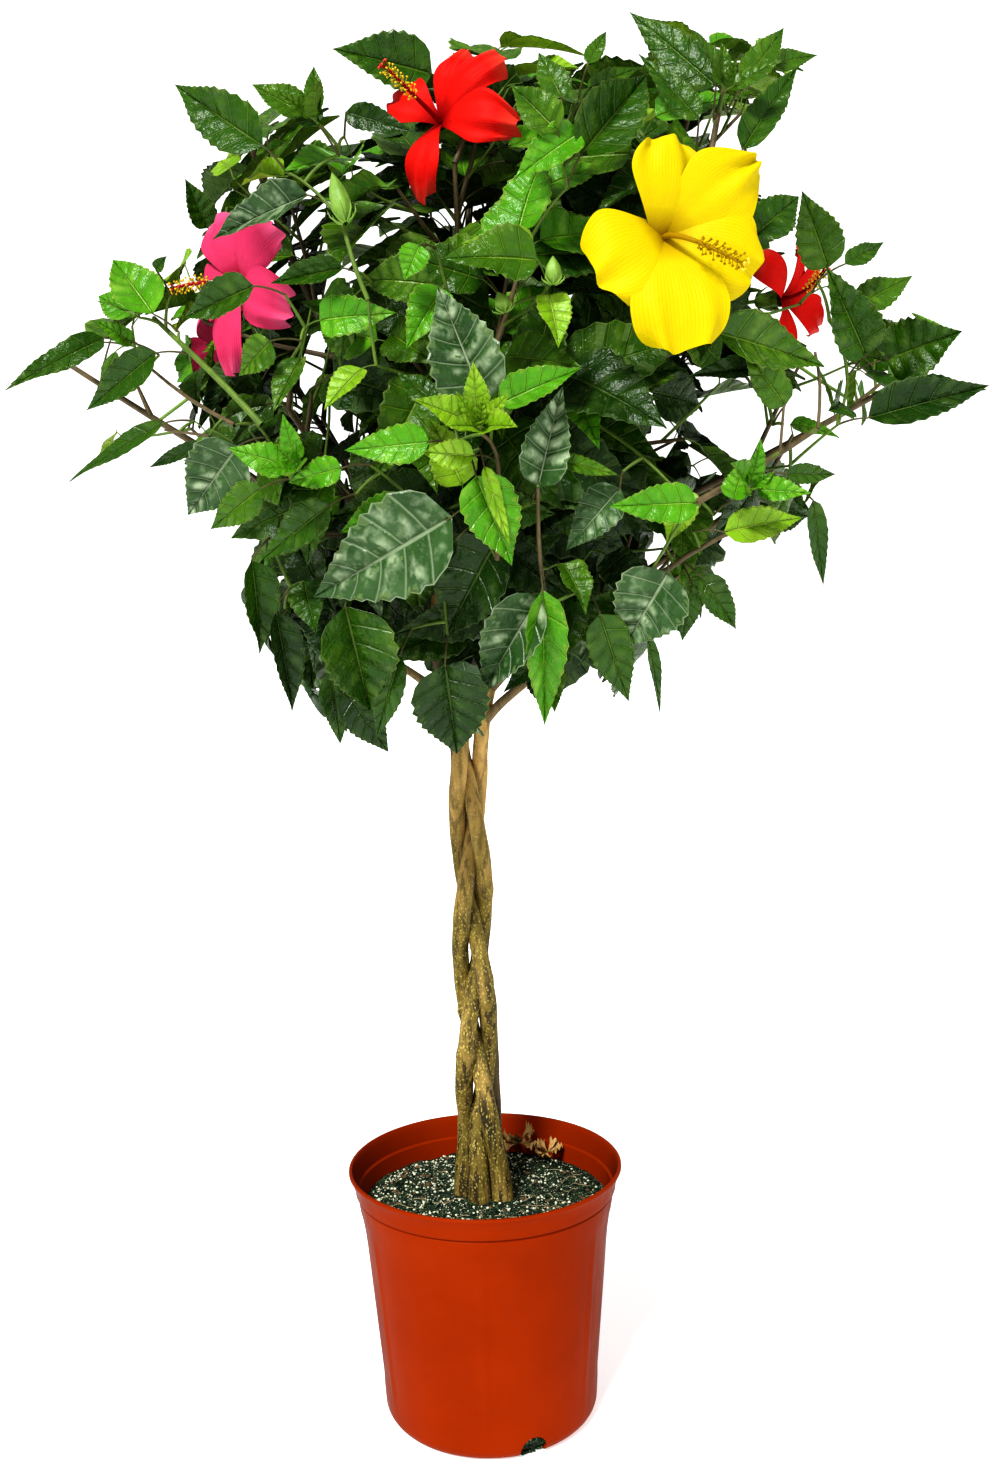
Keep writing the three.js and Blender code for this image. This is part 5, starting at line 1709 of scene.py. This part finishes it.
def make_pot(plastic):
    profile, outer_count = pot_profile()
    turns = np.arange(POT["segments"]) * TAU / POT["segments"]
    radius = np.repeat(profile[:, :1], POT["segments"], axis=1)
    height = np.repeat(profile[:, 1:], POT["segments"], axis=1)
    panel = (turns - math.radians(PANEL["first_turn"])) * PANEL["count"] / TAU
    to_ridge = np.abs((panel + 0.5) % 1 - 0.5)
    sunk = np.clip(to_ridge / PANEL["ridge"] - 0.6, 0, 1)[None]
    low, high = PANEL["low"], PANEL["high"]
    on_body = np.clip((height - low) / 8, 0, 1) * np.clip((high - height) / 8, 0, 1)
    on_body[outer_count:] = 0
    radius = radius - PANEL["depth"] * sunk * on_body
    points = np.stack([radius * np.cos(turns), radius * np.sin(turns), height], axis=-1)
    points = np.concatenate([points, points[:1]])
    pile = Pile()
    pile.grid(points, wrap=True)
    pot = pile.piece("pot_shell", [plastic], replaces=["pot"], slot="pot_plastic")
    modify(pot, "WELD", merge_threshold=WELD_GAP)
    for i in range(DRAIN["count"]):
        cutter = drain_cutter(i)
        modify(pot, "BOOLEAN", operation="DIFFERENCE", solver="EXACT", object=cutter)
        bpy.data.objects.remove(cutter)
    pot.data.set_sharp_from_angle(angle=math.radians(SHARP_FROM))


def modify(piece, kind, **settings):
    """Gives a piece the mesh that one modifier makes of it."""
    modifier = piece.modifiers.new(kind.lower(), kind)
    for key, value in settings.items():
        setattr(modifier, key, value)
    bpy.context.view_layer.update()
    graph = bpy.context.evaluated_depsgraph_get()
    made = bpy.data.meshes.new_from_object(piece.evaluated_get(graph))
    piece.modifiers.clear()
    piece.data = made


def drain_turn(i):
    """The turn from +X to the middle of a drain notch, in degrees."""
    return DRAIN["first_turn"] + 360 * i / DRAIN["count"]


def drain_cutter(i):
    """An arched block through the foot of the wall."""
    half, springing = DRAIN["width"] / 2, DRAIN["springing"]
    arch = [(-half, -5)]
    arch += [(-half * math.cos(a), springing + half * math.sin(a)) for a in np.linspace(0, math.pi, 17)]
    arch += [(half, -5)]
    out = heading(drain_turn(i), 0)
    along = np.cross(UP, out)
    ends = [POT["foot_radius"] - 17, POT["foot_radius"] + 8]
    points = [out * d + along * x + UP * z for d in ends for x, z in arch]
    n = len(arch)
    faces = [[k, n + k, n + (k + 1) % n, (k + 1) % n] for k in range(n)]
    faces += [list(range(n)), list(range(n, 2 * n))[::-1]]
    mesh = bpy.data.meshes.new("drain_cutter")
    mesh.from_pydata([tuple(p * MM) for p in points], [], faces)
    return put("drain_cutter", mesh)


# Soil


def soil_height(x, y):
    """The soil's surface: low by the wall, heaped round the stems, and lumpy."""
    r = np.hypot(x, y) / SOIL["reach"]
    lumps = (
        np.sin(x / 9 + 1.3) * np.cos(y / 11 - 0.4) + 0.7 * np.sin(x / 4.1 - y / 5.3)
        + 0.5 * np.cos(x / 2.7 + y / 2.3 + 1) + 0.4 * np.sin(x / 1.7 - y / 1.9)
    )
    return SOIL["top"] - SOIL["dip"] * np.clip(r, 0, 1) ** 2 + 0.8 * lumps - 2.6


def neck_radius(z):
    t = (POT["height"] - z - POT["ledge_drop"]) / (POT["shoulder_drop"] - POT["ledge_drop"])
    return mix(POT["body_top_radius"], POT["shoulder_radius"], t)


def make_soil(material):
    rim = neck_radius(SOIL["top"]) - POT["wall"] - 1
    turns = np.arange(SOIL["spokes"]) * TAU / SOIL["spokes"]
    radii = np.linspace(0.2, 1, SOIL["rings"])[:, None] ** 0.8 * rim
    radii = np.vstack([[0.5], radii])
    x, y = radii * np.cos(turns), radii * np.sin(turns)
    top = np.stack([x, y, soil_height(x, y)], axis=-1)
    r, floor = POT["foot_round"], POT["floor"] + 0.5
    section = [(POT["shoulder_radius"] - 3, 200), (POT["foot_radius"] - 3, r + 3),
               (POT["foot_radius"] - 8, floor + 3), (POT["foot_radius"] - r, floor), (0.5, floor)]
    sides = np.array([[(s * math.cos(a), s * math.sin(a), z) for a in turns] for s, z in section])
    pile = Pile()
    pile.grid(np.concatenate([top, sides])[:, ::-1], wrap=True)
    draw = draws(17)
    for i in range(DRAIN["count"]):
        for k in range(PLUG["crumbs"]):
            way = heading(drain_turn(i) + mix(-PLUG["side"], PLUG["side"], k / (PLUG["crumbs"] - 1)), 0)
            out = way * (POT["foot_radius"] - mix(*PLUG["in"], draw()))
            at = out + UP * mix(*PLUG["height"], draw())
            pebble(pile, at, mix(*PLUG["size"], draw()), 1, draw)
    pile.piece("soil_fill", [material], replaces=["soil"], slot="potting_soil")


def pebble(pile, at, size, flat, draw):
    """A small rounded crumb with an uneven outline."""
    rows, lanes = 4, 5
    turn = np.arange(lanes) * TAU / lanes
    rise = np.linspace(0.12, math.pi - 0.12, rows)[:, None]
    uneven = 1 + 0.3 * np.array([[draw() - 0.5 for _ in range(lanes)] for _ in range(rows)])
    x = np.sin(rise) * np.cos(turn) * uneven
    y = np.sin(rise) * np.sin(turn) * uneven
    z = np.cos(rise) * np.ones_like(x) * flat
    lean = draw() * TAU
    spun = np.stack([x * math.cos(lean) - y * math.sin(lean), x * math.sin(lean) + y * math.cos(lean), z],
                    axis=-1)
    pile.grid((at + spun * size)[:, ::-1], wrap=True)


def on_soil(draw, most=0.97):
    """A place on the soil, clear of the stems."""
    while True:
        r = SOIL["reach"] * math.sqrt(draw()) * most
        a = draw() * TAU
        x, y = r * math.cos(a), r * math.sin(a)
        feet = [*STRAND_FEET, REAR_STEM["foot"]]
        if all(math.hypot(x - fx, y - fy) > SOIL["clear_of_stems"] for fx, fy in feet):
            return vec(x, y, float(soil_height(x, y)))


def make_litter(materials):
    """Perlite grains, bark chips, rootlets and two withered blooms on the soil."""
    draw = draws(91)
    grains = Pile()
    for _ in range(LITTER["grains"]):
        size = mix(*LITTER["grain_size"], draw() ** 3)
        place = on_soil(draw)
        if draw() < mix(1, 0.5, (place[0] + 80) / 160):
            pebble(grains, place + UP * size * 0.3, size, 0.75, draw)
    grains.piece("perlite", [materials["perlite"]])
    chips = Pile()
    for _ in range(LITTER["chips"]):
        place = on_soil(draw) + UP * 0.6
        size = mix(*LITTER["chip_size"], draw())
        pebble(chips, place, size, mix(*LITTER["chip_flat"], draw()), draw)
    chips.piece("bark_chips", [materials["chip"]])
    roots = Pile()
    for _ in range(LITTER["rootlets"]):
        root = on_soil(draw, 0.9) + UP * 0.8
        a = draw() * TAU
        length = mix(*LITTER["rootlet_length"], draw())
        way = vec(math.cos(a), math.sin(a), 0)
        side = vec(-way[1], way[0], 0)
        line = [root + way * length * t + side * length * 0.2 * math.sin(5 * t + a) for t in
                np.linspace(0, 1, 7)]
        line = [vec(p[0], p[1], float(soil_height(p[0], p[1])) + 0.7) for p in line]
        if max(np.hypot(p[0], p[1]) for p in line) < LITTER["rootlet_reach"]:
            roots.tube(line, [LITTER["rootlet_radius"]] * len(line), 4)
    roots.piece("rootlets", [materials["rootlet"]])
    withered = Pile()
    for spot, lift, size in WITHERED:
        add_withered(withered, vec(*spot, float(soil_height(*spot)) + lift), size, draw)
    withered.piece("withered_blooms", [materials["withered"]])


def add_withered(pile, at, size, draw):
    """A fallen bloom, rolled up and crumpled."""
    for k in range(WITHERED_PETALS):
        a = TAU * k / WITHERED_PETALS + draw()
        way = unit(vec(math.cos(a), math.sin(a), mix(-0.5, 1.1, draw())))
        side = np.cross(way, UP)
        v = np.linspace(0, 1, 9)[:, None]
        u = np.linspace(-1, 1, 7)[None]
        lift = 0.35 * np.sin(5 * v + k) * v + 0.25 * np.sin(7 * u + 3 * k) * v
        along = v * size * (1 - 0.35 * v)
        points = at + along[..., None] * way + (u * size * 0.4 * v)[..., None] * side
        points = points + (np.abs(lift) * size * 0.6)[..., None] * UP
        pile.grid(points)


# Stems and boughs


def add_bark_limb(pile, line, radii, sides, seed, knots=()):
    """A limb with its bark's relief: fine rings, lengthwise ribs, and swellings at its knots."""
    n = len(line)
    turn = np.arange(sides) * TAU / sides
    at = np.linspace(0, 1, n)[:, None]
    length = np.linalg.norm(np.diff(line, axis=0), axis=1).sum()
    ribs = 0.02 * np.sin(3 * turn + seed) + 0.016 * np.sin(5 * turn + 2 * seed + 5 * at)
    waves = 0.03 * np.sin(length / 17 * at + seed) + 0.02 * np.sin(length / 6.1 * at + turn)
    rows = 0.014 * np.sin(length * 1.3 * at + 2 * np.sin(turn + 9 * at))
    shape = 0.99 + ribs + waves + rows
    for share, size in knots:
        shape = shape + size * np.exp(-(((at - share) * length / 5) ** 2)) * (1 + 0.4 * np.cos(turn - seed))
    pile.grid(rings(line, np.asarray(radii)[:, None] * shape, sides), wrap=True)


def make_stems(bark, rear_bark):
    for i in range(BRAID["strands"] + 1):
        heights = np.linspace(SOIL["top"] - 4, BRAID["leader_top"], 300)
        line = np.array([stem_point(i, z) for z in heights])
        radii = [stem_radius(z) for z in heights]
        knots = STEM_KNOTS.get(i, [])
        pile = Pile()
        add_bark_limb(pile, line, radii, 22, i + 1.0, knots=knots)
        pile.piece(f"bark_stem_{i + 1}", [rear_bark if i == BRAID["strands"] else bark],
                   replaces=[f"stem_{i + 1}"], slot="bark")


def make_boughs(bark):
    pile = Pile()
    for mass in masses:
        line = bough_corners(mass, 60)
        add_bark_limb(pile, line, np.linspace(BOUGH["base"], BOUGH["tip"], 61), 12, mass["seed"])
    pile.piece("bark_boughs", [bark], replaces=[f"bough_{m['name']}" for m in masses], slot="green_wood")


# Growth

masses = [dict(zip(MASS_FIELDS, row)) for row in MASSES]
blooms = [dict(zip(BLOOM_FIELDS, row)) for row in BLOOMS]
by_name = {mass["name"]: mass for mass in masses}

for i in range(BRAID["strands"] + 1):
    for z in np.linspace(SOIL["top"], BRAID["leader_top"], 120):
        room.occupy(stem_point(i, z), stem_radius(z))
for mass in masses:
    room.occupy(bough_corners(mass, 40), BOUGH["base"])
    mass["draw"] = draws(mass["seed"])
    mass["stem"] = mass_stem(mass)
    mass["heart"] = mass["stem"].point(0.75)
    mass["leaves"] = []
    mass["arms"] = []
    room.occupy(mass["stem"].points(30), TWIG["stem"])
hearts = np.array([mass["heart"] for mass in masses])
for bloom in blooms:
    occupy_bloom(bloom)
for mass in masses:
    mass["shoot_lines"] = grow_shoots(mass)
for mass in masses:
    mass["sprig_lines"] = grow_sprigs(mass)
for arm in ARMS.values():
    place_arm(*arm)
for leaf in PLACED.values():
    place_leaf(*leaf)
for tuft in TUFTS.values():
    place_tuft(*tuft)
for bud in BUDS.values():
    place_bud(*bud)
for mass in masses:
    grow_leaf(mass, mass["stem"], 1, lambda attempt: tip_leaf(mass, attempt))
for mass in masses:
    twigs = twigs_of(mass)
    for index, line in enumerate(twigs):
        last = AGE["stem_tip"] if line is mass["stem"] else AGE["twig_tip"]
        grow_leaves(mass, line, 0, last, index)
    for index, line in enumerate(twigs):
        grow_tuft(mass, line, index)
for mass in masses:
    for index, line in enumerate(twigs_of(mass)):
        fill_in(mass, line, index)


def make_foliage(leaf_materials, twig_materials, bloom_materials):
    for mass in masses:
        draw = draws(mass["seed"] + 500)
        leaves, twigs = Pile(), Pile()
        limbs = [(mass["stem"], TWIG["stem"] * 0.92, 2.2, 20, 0)]
        limbs += [(line, TWIG["shoot"] * 0.92, 1.4, 14, 0) for line in mass["shoot_lines"]]
        limbs += [(line, SPRIG["foot"], SPRIG["tip"], 10, 2) for line in mass["sprig_lines"]]
        for line, foot, tip, steps, bark in limbs:
            if line.grown:
                twigs.tube(line.grown_points(steps), np.linspace(foot, tip, steps + 1), 7, bark)
        for line, (foot, tip), bark in mass["arms"]:
            twigs.tube(line.points(24), np.linspace(foot, tip, 25), 8, bark)
        for leaf in mass["leaves"]:
            add_leaf(leaves, twigs, mass, leaf, draw)
        name = mass["name"]
        leaves.piece(f"leaves_{name}", leaf_materials, replaces=[f"foliage_{name}"], slot="leaves")
        twigs.piece(f"twigs_{name}", twig_materials, replaces=[f"foliage_{name}"], slot="green_wood")
        flowers = Pile()
        for bloom in blooms:
            if bloom["mass"] == name:
                add_bloom(flowers, bloom, mass["stem"], draw)
        for bud in mass.get("buds", []):
            add_bud(flowers, *bud)
        if flowers.count:
            flowers.piece(f"bloom_{name}", bloom_materials, replaces=[f"foliage_{name}"])


def leaf_materials():
    """Top and underside of each tone, from dark to lime."""
    # The last, grey, tone is a dark green whose pale vein colour its strong painted sheen spreads between
    # the veins.
    tops = [
        ((0.008, 0.032, 0.002), (0.019, 0.056, 0.004), (0.075, 0.13, 0.025), 0.24),
        ((0.015, 0.058, 0.002), (0.034, 0.098, 0.003), (0.115, 0.19, 0.02), 0.25),
        ((0.03, 0.092, 0.003), (0.06, 0.142, 0.005), (0.18, 0.29, 0.025), 0.24),
        ((0.052, 0.2, 0.004), (0.092, 0.285, 0.008), (0.27, 0.44, 0.06), 0.25),
        ((0.13, 0.27, 0.006), (0.22, 0.38, 0.015), (0.4, 0.52, 0.1), 0.3),
        ((0.018, 0.056, 0.011), (0.05, 0.11, 0.032), (0.36, 0.44, 0.28), 0.26),
    ]
    unders = [
        ((0.035, 0.075, 0.016), (0.05, 0.1, 0.02), (0.1, 0.16, 0.045)),
        ((0.055, 0.11, 0.016), (0.075, 0.14, 0.02), (0.14, 0.21, 0.05)),
        ((0.08, 0.155, 0.016), (0.105, 0.19, 0.02), (0.19, 0.28, 0.06)),
        ((0.13, 0.25, 0.018), (0.17, 0.3, 0.025), (0.29, 0.4, 0.08)),
        ((0.25, 0.4, 0.022), (0.31, 0.47, 0.035), (0.44, 0.55, 0.1)),
        ((0.07, 0.125, 0.04), (0.1, 0.16, 0.055), (0.17, 0.24, 0.1)),
    ]
    made = []
    for tone, (base, fresh, vein_and_sheen_colour, rough), (pale, paler, ribs) in zip(TONES, tops, unders):
        # Painted sheen: strong on the grey tone, weaker on the other tops and weakest on the undersides.
        painted_sheen = 0.85 if tone == "grey" else 0.35
        made.append(leaf_material(f"leaf_{tone}", base, fresh, vein_and_sheen_colour, 0.55, rough, 0.9, painted_sheen))
        made.append(leaf_material(f"leaf_under_{tone}", pale, paler, ribs, 0.6, 0.55, -0.9, 0.2))
    return made


def twig_materials():
    return [
        twig_material("twig_bark", (0.075, 0.058, 0.022), (0.14, 0.1, 0.045)),
        twig_material("leaf_stalk", (0.05, 0.042, 0.012), (0.08, 0.075, 0.015)),
        twig_material("green_stalk", (0.07, 0.13, 0.012), (0.12, 0.19, 0.02)),
    ]


def bloom_materials():
    return [
        petal_material("petal_yellow", (0.53, 0.415, 0.0004), (0.3, 0.18, 0.0), (0.56, 0.45, 0.002), 0.25),
        petal_material("petal_red", (0.64, 0.011, 0.006), (0.24, 0.0, 0.002), (0.76, 0.12, 0.07), 0.4),
        petal_material("petal_pink", (0.6, 0.05, 0.14), (0.34, 0.003, 0.03), (0.72, 0.17, 0.32), 0.6),
        plain_material("calyx_green", (0.13, 0.25, 0.03), (0.2, 0.33, 0.05), 0.5, 90),
        plain_material("anther_gold", (0.65, 0.42, 0.01), (0.8, 0.6, 0.04), 0.7, 500),
        plain_material("stigma_red", (0.6, 0.03, 0.02), (0.7, 0.08, 0.03), 0.6, 500),
    ]


# Everything in its place

make_camera()
make_studio()
make_pot(plastic_material())
make_soil(soil_material())
make_litter({
    "perlite": plain_material("perlite_grain", (0.45, 0.47, 0.33), (0.82, 0.84, 0.66), 0.9, 300),
    "chip": plain_material("bark_chip", (0.07, 0.045, 0.02), (0.16, 0.1, 0.045), 0.9, 200),
    "rootlet": plain_material("rootlet_skin", (0.3, 0.24, 0.14), (0.42, 0.36, 0.22), 0.9, 200),
    "withered": plain_material("withered_petal", (0.3, 0.17, 0.05), (0.5, 0.33, 0.13), 0.85, 120, 0.8),
})
# The stem bark's high colour is partly its own pinkish tan and partly painted light, made paler against the
# shade that the crown casts.
make_stems(
    bark_material("stem_bark", (0.16, 0.118, 0.015), (0.7, 0.45, 0.165), (0.7, 0.58, 0.18),
                  (0.022, 0.014, 0.003)),
    bark_material("rear_bark", (0.12, 0.085, 0.035), (0.2, 0.12, 0.06), (0.28, 0.22, 0.13),
                  (0.03, 0.02, 0.012)),
)
make_boughs(bark_material("bough_bark", (0.14, 0.1, 0.04), (0.22, 0.16, 0.07), (0.3, 0.26, 0.14),
                          (0.04, 0.028, 0.012)))
make_foliage(leaf_materials(), twig_materials(), bloom_materials())
